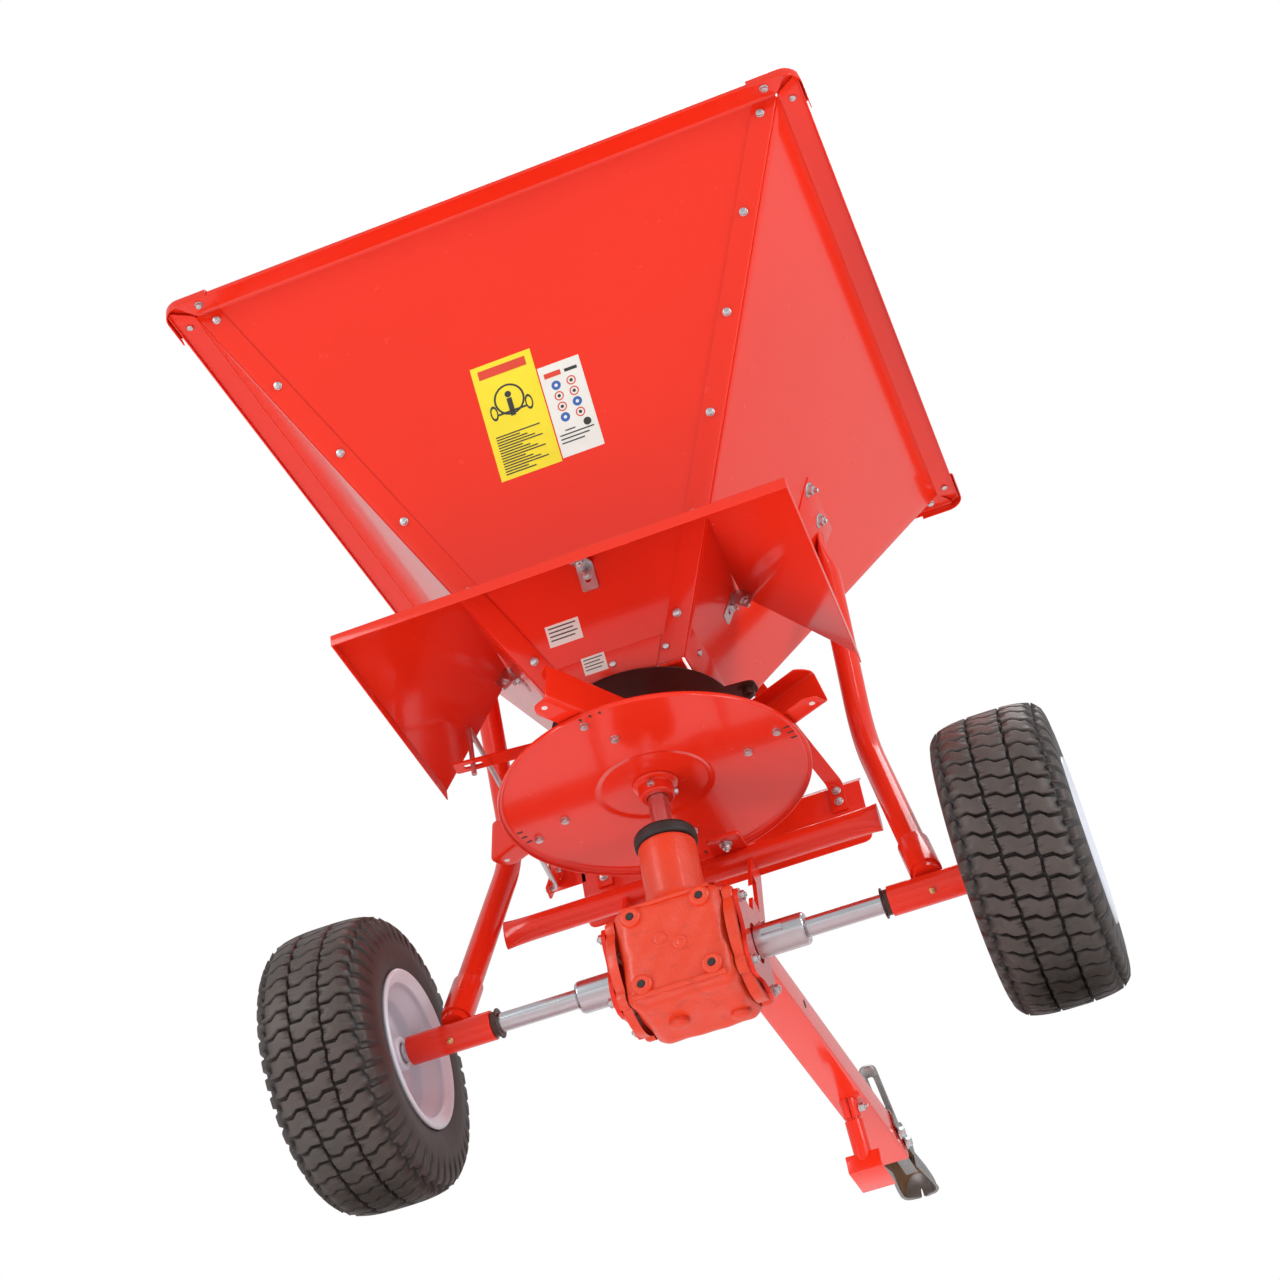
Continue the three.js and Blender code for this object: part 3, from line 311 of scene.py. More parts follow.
# ---------------------------------------------------------------- materials
class Value:
    """One shader output, so that maths on it is written as a Python expression."""

    def __init__(self, tree, socket):
        self.tree, self.socket = tree, socket

    def maths(self, kind, *others):
        node = self.tree.nodes.new("ShaderNodeMath")
        node.operation = kind
        for i, item in enumerate((self, *others)):
            feed(self.tree, node.inputs[i], item)
        return Value(self.tree, node.outputs[0])

    def __add__(self, other):
        return self.maths("ADD", other)

    def __sub__(self, other):
        return self.maths("SUBTRACT", other)

    def __mul__(self, other):
        return self.maths("MULTIPLY", other)

    def __truediv__(self, other):
        return self.maths("DIVIDE", other)

    def __rsub__(self, other):
        return (self * -1.0).maths("ADD", other)

    def __pow__(self, other):
        return self.maths("POWER", other)

    __radd__ = __add__
    __rmul__ = __mul__

    def above(self, edge, soft=0.05):
        """0 below the edge and 1 above it, with a soft step between."""
        return ((self - edge) / soft + 0.5).clamp()

    def clamp(self):
        node = self.tree.nodes.new("ShaderNodeClamp")
        feed(self.tree, node.inputs["Value"], self)
        return Value(self.tree, node.outputs[0])


def feed(tree, socket, item):
    if isinstance(item, Value):
        tree.links.new(item.socket, socket)
    else:
        socket.default_value = item


class Finish:
    """A material with one Principled shader, and short ways to make the nodes that feed it."""

    def __init__(self, name, **uniform):
        self.material = bpy.data.materials.new(name)
        self.material.use_nodes = True
        self.tree = self.material.node_tree
        self.shader = self.tree.nodes["Principled BSDF"]
        for key, value in uniform.items():
            socket = self.shader.inputs[key.replace("_", " ").title().replace("Ior", "IOR")]
            socket.default_value = (*value, 1) if isinstance(value, tuple) else value
        self.point = self.node("ShaderNodeTexCoord", "Object")
        MATERIALS[name] = self.material

    def node(self, kind, output=0, settings=None, **inputs):
        """Any node by type: settings are its properties and inputs its sockets by name."""
        made = self.tree.nodes.new(kind)
        for key, value in (settings or {}).items():
            setattr(made, key, value)
        for key, value in inputs.items():
            feed(self.tree, made.inputs[key.replace("_", " ")], value)
        return Value(self.tree, made.outputs[output])

    def noise(self, scale, detail=3.0, stretch=None, roughness=0.5):
        where = self.point
        if stretch:
            where = self.node("ShaderNodeMapping", Vector=self.point, Scale=stretch)
        return self.node("ShaderNodeTexNoise", "Fac", Vector=where, Scale=scale, Detail=detail,
                         Roughness=roughness)

    def mix(self, amount, a, b):
        node = self.tree.nodes.new("ShaderNodeMix")
        node.data_type = "RGBA"
        feed(self.tree, node.inputs["Factor"], amount)
        for socket, item in ((node.inputs[6], a), (node.inputs[7], b)):
            feed(self.tree, socket, item if isinstance(item, Value) else (*item, 1))
        return Value(self.tree, node.outputs[2])

    def bump(self, height, strength, distance, before=None):
        inputs = {"Height": height, "Strength": strength, "Distance": distance}
        if before is not None:
            inputs["Normal"] = before
        return self.node("ShaderNodeBump", **inputs)

    def set(self, **varying):
        for key, value in varying.items():
            feed(self.tree, self.shader.inputs[key.replace("_", " ").title()], value)


def scaled(colour, k):
    return tuple(min(1.0, c * k) for c in colour)


def make_materials():
    c = bpy.context.scene.spreader_colours
    red = tuple(c.red)
    f = Finish("red", coat_weight=0.25, coat_roughness=0.05, ior=1.42)
    cloud = f.noise(3.0, 2.0)
    peel = f.noise(420.0, 2.0)
    scuff = f.noise(26.0, 6.0, roughness=0.7).above(0.66, 0.1)
    f.set(
        base_color=f.mix(cloud, scaled(red, 0.94), scaled(red, 1.04)),
        roughness=0.15 + scuff * 0.16 + cloud * 0.05,
        normal=f.bump(f.noise(7.0, 1.0), 0.12, 0.004, f.bump(peel, 0.10, 0.0004)),
    )
    cast = tuple(c.cast)
    f = Finish("cast", coat_weight=0.25, coat_roughness=0.15)
    grain = f.noise(190.0, 5.0, roughness=0.65)
    lumps = f.noise(38.0, 4.0)
    bare = f.noise(55.0, 7.0, roughness=0.75).above(0.70, 0.03)
    stain = f.noise(30.0, 6.0, roughness=0.7, stretch=(1, 1, 2.5)).above(0.62, 0.12)
    f.set(
        base_color=f.mix(bare, f.mix(stain * 0.45, scaled(cast, 1.0), (0.42, 0.03, 0.015)),
                         (0.16, 0.05, 0.03)),
        roughness=0.30 + grain * 0.2 + bare * 0.3,
        normal=f.bump(lumps, 0.5, 0.003, f.bump(grain, 0.45, 0.0012)),
    )
    zinc = tuple(c.zinc)
    f = Finish("zinc", metallic=1.0)
    spangle = f.node("ShaderNodeTexVoronoi", "Color", Vector=f.point, Scale=260.0)
    tone = f.node("ShaderNodeSeparateColor", 0, Color=spangle)
    smear = f.noise(60.0, 5.0)
    f.set(
        base_color=f.mix(smear, scaled(zinc, 0.78), scaled(zinc, 1.25)),
        roughness=0.24 + tone * 0.10 + smear * 0.12,
        normal=f.bump(f.noise(500.0, 3.0), 0.12, 0.0004),
    )
    f = Finish("pewter", metallic=0.85)
    mottle = f.noise(70.0, 6.0, roughness=0.7)
    f.set(
        base_color=f.mix(mottle, (0.20, 0.19, 0.185), (0.46, 0.44, 0.43)),
        roughness=0.30 + mottle * 0.25,
        normal=f.bump(f.noise(240.0, 4.0), 0.25, 0.0008),
    )
    f = Finish("umber")
    rust = f.noise(45.0, 6.0, roughness=0.7)
    f.set(
        base_color=f.mix(rust, (0.10, 0.045, 0.02), (0.32, 0.17, 0.08)),
        roughness=0.55 + rust * 0.3,
        normal=f.bump(f.noise(180.0, 5.0), 0.3, 0.001),
    )
    steel = tuple(c.steel)
    f = Finish("steel", metallic=1.0)
    lathe_marks = f.noise(6.0, 2.0, stretch=(120, 1, 1))
    tarnish = f.noise(14.0, 5.0, roughness=0.6).above(0.62, 0.3)
    f.set(
        base_color=f.mix(tarnish * 0.45, steel, (0.50, 0.46, 0.44)),
        roughness=0.17 + lathe_marks * 0.06 + tarnish * 0.10,
        normal=f.bump(lathe_marks, 0.05, 0.0002),
    )
    dark = tuple(c.dark)
    f = Finish("dark", metallic=0.35, coat_weight=0.2)
    haze = f.noise(40.0, 5.0)
    f.set(
        base_color=f.mix(haze, scaled(dark, 0.7), scaled(dark, 1.5)),
        roughness=0.28 + haze * 0.25,
        normal=f.bump(f.noise(160.0, 4.0), 0.15, 0.0008),
    )
    # Black rubber, also used for the black fills that paint shade in holes and slots.
    f = Finish("rubber")
    dust = f.noise(50.0, 5.0)
    f.set(
        base_color=f.mix(dust, (0.012, 0.012, 0.012), (0.03, 0.028, 0.027)),
        roughness=0.42 + dust * 0.25,
        normal=f.bump(f.noise(300.0, 3.0), 0.2, 0.0005),
    )
    tyre = tuple(c.tyre)
    f = Finish("tyre", specular_ior_level=0.6)
    dirt = f.noise(24.0, 6.0, roughness=0.7)
    # The crown attribute darkens the tread's grooves to 0.30 of the tyre colour as painted shade. It
    # lightens the block tops, partly as wear and partly as painted highlight.
    crown = f.node("ShaderNodeAttribute", "Fac", {"attribute_name": "crown"})
    wear_and_highlight = f.mix(dirt, scaled(tyre, 0.9), scaled(tyre, 1.9))
    f.set(
        base_color=f.mix(crown * (0.45 + dirt * 0.55), scaled(tyre, 0.30), wear_and_highlight),
        roughness=0.34 + dirt * 0.3,
        normal=f.bump(f.noise(330.0, 5.0, roughness=0.7), 0.35, 0.0007),
    )
    rim = tuple(c.rim)
    f = Finish("rim", coat_weight=0.4, coat_roughness=0.08)
    veil = f.noise(12.0, 4.0)
    f.set(
        base_color=f.mix(veil, scaled(rim, 0.93), scaled(rim, 1.05)),
        roughness=0.28 + veil * 0.14,
        normal=f.bump(f.noise(260.0, 2.0), 0.10, 0.0005),
    )
    f = Finish("brass", metallic=1.0)
    patina = f.noise(90.0, 4.0)
    f.set(
        base_color=f.mix(patina, (0.62, 0.43, 0.16), (0.78, 0.60, 0.28)),
        roughness=0.25 + patina * 0.2,
        normal=f.bump(f.noise(420.0, 3.0), 0.1, 0.0004),
    )
    labels = {
        "yellow": tuple(c.yellow), "paper": (0.80, 0.80, 0.74), "ink": (0.03, 0.028, 0.026),
        "signal": (0.70, 0.05, 0.02), "blue": (0.03, 0.12, 0.42),
    }
    for name, colour in labels.items():
        f = Finish(name, coat_weight=0.2)
        fade = f.noise(30.0, 4.0)
        f.set(
            base_color=f.mix(fade, scaled(colour, 0.92), scaled(colour, 1.05)),
            roughness=0.32 + fade * 0.15,
            normal=f.bump(f.noise(120.0, 3.0), 0.08, 0.0006),
        )


# ---------------------------------------------------------------- hopper
def side_x(s, z, off=0.0):
    k = (s.rim_half - s.flange - s.outlet_half) / (s.rim_z - s.outlet_z)
    return s.outlet_half + (z - s.outlet_z) * k + off * hypot(1, k)


def back_y(s, z, off=0.0):
    k = (s.outlet_back - s.rim_back - s.flange) / (s.rim_z - s.outlet_z)
    return s.outlet_back - (z - s.outlet_z) * k - off * hypot(1, k)


def front_y(s, z, off=0.0):
    k = (s.rim_front - s.flange - s.outlet_front) / (s.rim_z - s.outlet_z)
    return s.outlet_front + (z - s.outlet_z) * k + off * hypot(1, k)


def panel_profile(s, reach):
    """Outward distance and height up the wall, round the bend, out along the flange and down the lip."""
    z = s.rim_z - s.sheet
    corners = [[reach(s, s.outlet_z), s.outlet_z], [reach(s, z), z], [reach(s, z) + s.flange - 1, z],
               [reach(s, z) + s.flange - 1, z - s.lip + 2]]
    p = rounded(corners, 5.0, 5)
    wall = spaced(p[0], p[1], 24)
    return np.concatenate([wall, p[2:]])


def end_panel(name, node, reach, sign):
    """Each row is one point of the folded profile; its half span follows the corner line, then the
    flange's mitre."""
    s = sizes()
    profile = panel_profile(s, lambda s_, z: reach(s_, z, s.sheet))
    z = profile[:, 1]
    start = profile[:, 0].max() - s.flange + 1
    beyond = np.clip(profile[:, 0] - start, 0, None)
    half = np.where(beyond > 0.5, np.minimum(side_x(s, s.rim_z) + beyond, s.rim_half - 15),
                    side_x(s, z) - 0.3)
    u = np.linspace(-1, 1, 41)
    grid = np.stack([half[:, None] * u, np.broadcast_to(sign * profile[:, :1], (len(z), 41)),
                     np.broadcast_to(z[:, None], (len(z), 41))], -1)
    thing = Shape().grid(grid, flip=sign < 0).make(name, "red", "frame", (node,))
    return thicken(thing, s.sheet, 1.0, 0.4)


def side_panel(name, node, side):
    """The wall and flange as one folded grid, and at each end a strip that turns the corner and
    lies on the end panel."""
    s = sizes()
    profile = panel_profile(s, lambda s_, z: side_x(s_, z, s.sheet))
    z = profile[:, 1]
    start = profile[:, 0].max() - s.flange + 1
    beyond = np.clip(profile[:, 0] - start, 0, None)
    wrap = 2 * s.sheet + 0.3
    y0 = np.where(beyond > 0.5, np.maximum(s.rim_back + s.flange - beyond, s.rim_back + 15),
                  back_y(s, z, wrap - 3))
    y1 = np.where(beyond > 0.5, np.minimum(s.rim_front - s.flange + beyond, s.rim_front - 15),
                  front_y(s, z, wrap - 3))
    u = np.linspace(0, 1, 49)
    y = y0[:, None] + (y1 - y0)[:, None] * u
    grid = np.stack([np.broadcast_to(side * profile[:, :1], y.shape), y,
                     np.broadcast_to(z[:, None], y.shape)], -1)
    shape = Shape().grid(grid, flip=side < 0)
    levels = np.linspace(s.outlet_z, s.rim_z - 7, 40)
    for reach, sign in ((back_y, -1), (front_y, 1)):
        rows = []
        for level in levels:
            x = side_x(s, level, s.sheet)
            depth = -reach(s, level, wrap) if sign < 0 else reach(s, level, wrap)
            corner = rounded([[x, depth - 3.6], [x, depth], [x - s.strip, depth]], 3.0, 5)
            rows.append([[side * a, sign * b, level] for a, b in corner])
        shape.grid(rows, flip=side * sign > 0)
    thing = shape.make(name, "red", "frame", (node,))
    return thicken(thing, s.sheet, 1.0, 0.4)


def corner_cap(name, node, sx, sy):
    """Rows run round the outside corner; columns go in along the top and down over the rail as a lip."""
    s = sizes()
    leg, r, out = 74.0, 28.0, 3.0
    t = np.radians(np.linspace(0, 90, 15))
    arc = np.stack([out - r + r * np.cos(t), out - r + r * np.sin(t)], 1)
    path = np.concatenate([spaced([out, -leg], [out, out - r - 1], 10), arc,
                           spaced([out - r - 1, out], [-leg, out], 10)])
    normal = np.concatenate([np.tile([1.0, 0], (10, 1)), np.stack([np.cos(t), np.sin(t)], 1),
                             np.tile([0, 1.0], (10, 1))])
    inner = np.minimum(path, -s.flange)
    edge = s.rim_back if sy < 0 else s.rim_front
    top = s.rim_z + 0.3 + s.sheet
    bend = np.radians(np.linspace(0, 90, 6))
    columns = [(inner, top)]
    columns += [(path - normal * (4 - 4 * sin(b)), top - 4 + 4 * cos(b)) for b in bend]
    columns += [(path, top - 10), (path, top - 17)]
    rows = [np.stack([sx * (s.rim_half + p[:, 0]), edge + sy * p[:, 1], np.full(len(p), h)], 1) for p,
            h in columns]
    thing = Shape().grid(np.swapaxes(rows, 0, 1), flip=sx * sy > 0).make(name, "red", "frame", (node,))
    return thicken(thing, s.sheet - 0.2, -1.0, 0.5)


def hopper_bolts():
    """Bolts down each corner strip, and two under each corner cap."""
    s = sizes()
    shape = Shape()
    for reach, sign in ((back_y, -1), (front_y, 1)):
        k = abs(reach(s, s.rim_z) - reach(s, s.outlet_z)) / (s.rim_z - s.outlet_z)
        out = np.array([0, sign, -k])
        for side in (-1, 1):
            for z in (1290, 1167, 1044, 922, 800, 681):
                place = [side * (side_x(s, z) - 20), reach(s, z, 2 * s.sheet + 0.6), z]
                bolt(shape, place, out, 10, 4.0, 6.5)
        for x in (-72, 0, 82):
            if sign < 0:
                bolt(shape, [x, reach(s, 645, s.sheet), 645], out, 9, 4.0, 6.0)
        for side in (-1, 1):
            edge = s.rim_back if sign < 0 else s.rim_front
            for dx, dy in ((52, 18), (18, 52)):
                place = [side * (s.rim_half - dx), edge - sign * dy, s.rim_z - s.sheet]
                bolt(shape, place, [0, 0, -1], 10, 4.0, 7.0)
    for side in (-1, 1):
        for y in (-72, 21):
            k = (side_x(s, s.rim_z) - s.outlet_half) / (s.rim_z - s.outlet_z)
            bolt(shape, [side * side_x(s, 649, s.sheet), y, 649], [side, 0, -k], 9, 4.0, 6.0)
    shape.make("hopper_bolts", "zinc", "frame", smooth=30)


def lower_strip():
    """A flat reinforcing strip round the funnel's lower edge, outside the panels."""
    s = sizes()
    z0, z1 = s.outlet_z, s.outlet_z + 37
    shape = Shape()
    inset = s.strip + 1.5
    for sign, reach in ((-1, back_y), (1, front_y)):
        a = [[x, reach(s, z, s.sheet + 2.2), z] for z, x in
             ((z0, -side_x(s, z0) + inset), (z0, side_x(s, z0) - inset), (z1, side_x(s, z1) - inset),
              (z1, -side_x(s, z1) + inset))]
        shape.flat(a, [0, 1, 2, 3] if sign < 0 else [3, 2, 1, 0])
    for side in (-1, 1):
        a = [[side * side_x(s, z, s.sheet + 2.2), y, z] for z, y in
             ((z0, back_y(s, z0) + 2), (z0, front_y(s, z0) - 2), (z1, front_y(s, z1) - 2),
              (z1, back_y(s, z1) + 2))]
        shape.flat(a, [0, 1, 2, 3] if side > 0 else [3, 2, 1, 0])
    thicken(shape.make("outlet_strips", "red", "frame"), 2.0, -1.0, 0.4)


def labels():
    """Labels on the rear panel: a sheet each, with bars, discs and a triangle as plain graphics
    just above it."""
    s = sizes()
    k = (back_y(s, s.outlet_z) - back_y(s, s.rim_z)) / (s.rim_z - s.outlet_z)
    lean = hypot(1, k)

    def on_panel(x, up, z0, lift):
        z = z0 + up / lean
        return [x, back_y(s, z, s.sheet + lift), z]

    def rectangle(shape, x0, x1, u0, u1, z0, lift):
        u = np.linspace(0, 1, 4)
        grid = [[on_panel(x0 + (x1 - x0) * a, u0 + (u1 - u0) * b, z0, lift) for a in u] for b in u]
        shape.grid(grid)

    def disc(shape, x, u, r, z0, lift, inner=0.0, wide=1.0):
        t = np.linspace(0, 2 * pi, 25)
        grid = [[on_panel(x + q * wide * cos(a), u + q * sin(a), z0, lift) for a in t] for q in (inner, r)]
        shape.grid(grid)

    sheets = {"yellow": Shape(), "paper": Shape()}
    rectangle(sheets["yellow"], -84, 13, 0, 182, 929, 0.25)
    rectangle(sheets["paper"], 15, 81, 2, 146, 930, 0.25)
    rectangle(sheets["paper"], -83, -31, 0, 32, 692, 0.25)
    rectangle(sheets["paper"], -44, -8, 0, 26, 640, 2.6)
    sheets["yellow"].make("label_caution", "yellow", "frame")
    sheets["paper"].make("label_data", "paper", "frame")
    ink, signal, blue, yellow = Shape(), Shape(), Shape(), Shape()
    rectangle(signal, -74, 2, 160, 174, 929, 0.45)
    for row in range(15):
        cut = 8 + 11 * ((row * 7) % 4)
        rectangle(ink, -74, 4 - cut, 66 - row * 4.2, 68 - row * 4.2, 929, 0.45)
    disc(ink, -38, 118, 24, 929, 0.45, inner=21)
    disc(ink, -66, 104, 12, 929, 0.45, inner=8, wide=0.5)
    disc(ink, -10, 104, 12, 929, 0.45, inner=8, wide=0.5)
    disc(ink, -38, 126, 5, 929, 0.5)
    rectangle(ink, -42, -34, 92, 120, 929, 0.5)
    rectangle(ink, -62, -14, 98, 101, 929, 0.5)
    for row in range(4):
        for column in range(2):
            x, u = 36 + 24 * column, 112 - 17 * row
            first = blue if (row + column) % 3 == 0 else signal
            disc(first, x, u, 7.2, 930, 0.45, inner=0.0 if first is blue else 5.4)
            disc(ink if first is signal else yellow, x, u, 2.6, 930, 0.5)
    for row in range(3):
        rectangle(ink, 20, 74 - 9 * row, 34 - 6 * row, 36 - 6 * row, 930, 0.45)
    disc(ink, 66, 44, 6, 930, 0.5)
    rectangle(ink, 30, 46, 40, 42, 930, 0.5)
    rectangle(signal, 22, 48, 126, 134, 930, 0.45)
    rectangle(ink, 54, 74, 127, 132, 930, 0.45)
    for row in range(4):
        rectangle(ink, -79, -36 - 5 * (row % 2), 26 - 6 * row, 28 - 6 * row, 692, 0.45)
        rectangle(ink, -41, -12 - 4 * (row % 2), 21 - 5 * row, 22.6 - 5 * row, 640, 2.8)
    ink.make("label_ink", "ink", "frame")
    signal.make("label_red", "signal", "frame")
    blue.make("label_blue", "blue", "frame")
    yellow.make("label_marks", "paper", "frame")


# ---------------------------------------------------------------- shield, guard and brackets
def spread_shield():
    """Three sloping faces hung round the funnel with turned-down edges: corner points joined by
    flat faces, then folded."""
    s = sizes()
    top, out, tip, near = ((187, -186, 797), (337, -346, 676), (330, 34, 632), (189, -12, 768))
    drop = 17
    points, faces = [], []
    for side in (-1, 1):
        points += [(side * x, y, z) for x, y, z in (top, out, tip, near)]
        points += [(side * x, y, z - drop) for x, y, z in (out, tip)]
    for base, flip in ((0, 1), (6, -1)):
        for f in ([0, 1, 2, 3], [1, 4, 5, 2]):
            faces.append([base + i for i in f][::flip])
    faces += [[0, 6, 7, 1], [1, 7, 10, 4]]
    shape = Shape().flat(points, *faces)
    thing = shape.make("spread_shield_sheet", "red", "frame", ("spread_shield",), smooth=20)
    thicken(thing, s.sheet, 0.0, 1.6, 3)


def slotted_plate(shape, corner, across, up, w, h, slot_w, slot_h, thickness, radius=4.0):
    """A plate with a slot: one outline round the plate and one round the slot, joined top, inside,
    bottom and outside."""
    across, up = np.array(across, float), np.array(up, float)
    out = np.cross(across, up)
    outer = box_outline(w, h, radius, 5)
    inner = box_outline(slot_w, slot_h, min(slot_w, slot_h) * 0.98, 5)
    levels = [(outer, 0), (outer * 0.985, thickness), (inner, thickness), (inner, 0)]
    rows = [np.array(corner, float) + o[:, :1] * across + o[:, 1:] * up + lift * out for o, lift in levels]
    shape.grid(np.array(rows), around=True, along=True)


def brackets():
    """Zinc angle brackets: a slotted leaf against the hopper and a plain leaf towards the shield,
    with their bolts."""
    s = sizes()
    shape, bolts = Shape(), Shape()
    k = (back_y(s, s.outlet_z) - back_y(s, s.rim_z)) / (s.rim_z - s.outlet_z)
    up = np.array([0, -k, 1]) / hypot(1, k)
    place = np.array([0, back_y(s, 768, s.sheet + 0.6), 768])
    slotted_plate(shape, place, [1, 0, 0], up, 13, 22, 4.5, 10, 3)
    shape.solid(swept(spaced(place + up * 19 - [0, 1, 0], [0, -212, 770], 6), box_outline(13, 1.5, 1, 3)))
    bolt(bolts, place + np.array([0, -3, 0]), [0, -1, -k], 10, 5, 7.5, 6)
    bolt(bolts, [0, -204, 773], [0, -0.6, -1], 10, 5, 7.5, 8)
    slope = (side_x(s, s.rim_z) - s.outlet_half) / (s.rim_z - s.outlet_z)
    for side in (-1, 1):
        rise = np.array([side * slope, 0, 1]) / hypot(1, slope)
        middle = np.array([side * side_x(s, 742, s.sheet + 0.6), -27, 742])
        slotted_plate(shape, middle, np.array([0, side, 0]), rise, 13, 22, 4.5, 10, 3)
        high = middle + rise * 20
        shape.solid(swept(spaced(high + [side * 1, 0, 0], high + [side * 26, 0, -17], 6),
                          box_outline(13, 1.5, 1, 3)[:, ::-1]))
        bolt(bolts, middle + [side * 3, 0, 0], [side, 0, -slope], 10, 5, 7.5, 7)
        bolt(bolts, high + [side * 15, 0, -12], [side * 0.5, 0, -1], 10, 5, 7.5, 9)
    nodes = ("shield_bracket_rear", "shield_bracket_left", "shield_bracket_right")
    thicken(shape.make("shield_brackets", "zinc", "frame", nodes, smooth=30), 0, 0, 0.4)
    bolts.make("shield_bracket_bolts", "zinc", "frame", smooth=30)


def guard():
    """The guard's lower sheet, its fold and its forward flange as one outline each, and the two
    straps that hang it."""
    s = sizes()
    half, z0, z1, y = 240.0, 529.0, 641.0, s.guard_y
    low = rounded([[-half, z1], [-half, z0], [half, z0], [half, z1]], 16, 5)
    high = rounded([[half, 0], [half, 42], [-half, 42], [-half, 0]], 12, 5)
    points = [[x, y + 1, z] for x, z in low] + [[x, y + 1 + u * 0.8, z1 + u * 0.6] for x, u in high[1:-1]]
    n, m = len(low), len(high) - 2
    shape = Shape().flat(points, list(range(n)), [n - 1, *range(n, n + m), 0])
    tab = [[-292, y + 1, 616], [-232, y + 1, 616], [-232, y + 1, 660], [-292, y + 1, 660]]
    shape.flat(tab, [0, 1, 2, 3])
    post = [[-281, y, 624], [-281, y, 658], [-281, 342, 652], [-281, 342, 628]]
    shape.flat(post, [0, 1, 2, 3])
    thicken(shape.make("guard_sheet", "red", "frame", ("guard_plate",), smooth=20), s.sheet, 0.0, 1.0, 3)
    pin, bolts = Shape(), Shape()
    pin.solid(turned(rounded([[0.5, -3], [5, -3], [5, 16], [3, 17]], 1, 3), [-282, 355, 640.4], [1, 0, 0],
                     24))
    pin.make("lever_pin", "zinc", "frame")
    straps = Shape()
    for side in (-1, 1):
        at = [front_y(s, z, s.sheet + 2) for z in (850, 784)]
        line = [[side * 131, at[0], 850], [side * 131, at[1], 784], [side * 201, y - 3, 646],
                [side * 201, y - 3, 596]]
        path = rounded(line, 9, 6)
        section = box_outline(13, 1.5, 1, 3)
        rows = []
        for p in path:
            rows.append([[p[0] + a, p[1] + b, p[2]] for a, b in section])
        straps.solid(rows)
        for z in (612, 632):
            bolt(bolts, [side * 201, y - 5, z], [0, -1, 0], 10, 5, 7.5, 4)
        bolt(bolts, [side * 131, front_y(s, 825, s.sheet + 4), 825], [0, 0.8, -0.6], 10, 5, 7.5, 4)
    straps.make("guard_straps", "red", "frame", ("guard_strap_left", "guard_strap_right"), smooth=30)
    bolts.make("guard_bolts", "zinc", "frame", smooth=30)


# ---------------------------------------------------------------- frame
def side_tube(name, node, side):
    """A round section swept up the bent tube; towards its top the section is pressed flat against
    the hopper."""
    s = sizes()
    foot, bend, top = np.array([[348.0, 0, 222], [287, 188, 588], [301, 190, 985]])
    arc = rounded([foot, bend, top], 75, 14)
    path = np.concatenate([spaced(arc[0], arc[1], 14)[:-1], arc[1:-1], spaced(arc[-2], arc[-1], 26)[1:]])
    path[:, 0] *= side
    near_top = np.clip((path[:, 2] - 905) / 60, 0, 1)
    flat = near_top * near_top * (3 - 2 * near_top)
    sections = np.array([circle(s.tube_r, 40, 1 - 0.68 * f, 1 + 0.32 * f) for f in flat])
    tangent = np.gradient(path, axis=0)
    tangent /= np.linalg.norm(tangent, axis=1)[:, None]
    rows = []
    for p, t, section in zip(path, tangent, sections):
        across = np.array([1.0, 0, 0]) - t * t[0]
        across /= np.linalg.norm(across)
        forward = np.cross(t, across)
        rows.append(p + section[:, :1] * across + section[:, 1:] * forward)
    shape = Shape().solid(rows)
    lean = (bend - foot) / np.linalg.norm(bend - foot) * [side, 1, 1]
    socket = [[19.2, 0], [22.5, 0], [22.5, 74], [21.5, 76], [19.2, 76]]
    shape.solid(turned(socket, (foot + (bend - foot) * 0.03) * [side, 1, 1], lean, 48))
    levels = [(z, side_x(s, z, s.sheet + 2.5)) for z in (942, 1014)]
    tab = [[side * levels[0][1], 84, 942], [side * levels[0][1], 206, 942],
           [side * levels[1][1], 214, 1014],
           [side * levels[1][1], 70, 1014]]
    thing = shape.make(name, "red", "frame", (node,), smooth=60)
    plate = Shape().flat(tab, [0, 1, 2, 3]).make(name + "_tab", "red", "frame", smooth=20)
    thicken(plate, 4.0, 0.0, 1.2, 3)
    bolts = Shape()
    k = (side_x(s, s.rim_z) - s.outlet_half) / (s.rim_z - s.outlet_z)
    for y, z, stud in ((84, 1000, 9), (156, 992, 6)):
        bolt(bolts, [side * side_x(s, z, s.sheet + 4.5), y, z], [side, 0, -k], 14, 8, 12, stud)
    bolts.make(name + "_bolts", "zinc", "frame", smooth=30)
    return thing


def cross_tube():
    """A round section whose ends are pressed flat where they meet the side tubes, with a tab behind
    the neck."""
    s = sizes()
    x = np.concatenate([np.linspace(-291, -240, 12), np.linspace(-200, 200, 9), np.linspace(240, 291, 12)])
    f = np.clip((np.abs(x) - 240) / 50, 0, 1) ** 2
    rows = []
    for a, b in zip(x, f):
        c = circle(s.tube_r - 0.5, 40, 1 - 0.45 * b, 1 + 0.25 * b)
        rows.append(np.stack([np.full(40, a), 107 + c[:, 0], 400 + c[:, 1]], 1))
    shape = Shape().solid(rows, flip=False)
    shape.make("cross_tube_round", "red", "frame", ("cross_tube",), smooth=60)
    tab = rounded([[46, 107], [46, 48], [96, 48], [96, 107], [46, 107]], 6, 4)[:-1]
    plate = Shape().flat([[a, b, 413] for a, b in tab], list(range(len(tab))))
    thicken(plate.make("neck_tab", "red", "frame", smooth=20), 6, 0.0, 0.8)
    bolts = Shape()
    bolt(bolts, [71, 66, 409.5], [0, 0, -1], 12, 7, 10, 5)
    bolt(bolts, [71, 66, 416.5], [0, 0, 1], 12, 6, 10, 0)
    bolts.make("neck_tab_bolt", "zinc", "frame", smooth=30)


def bar_z(y):
    return 362 + 0.044 * y


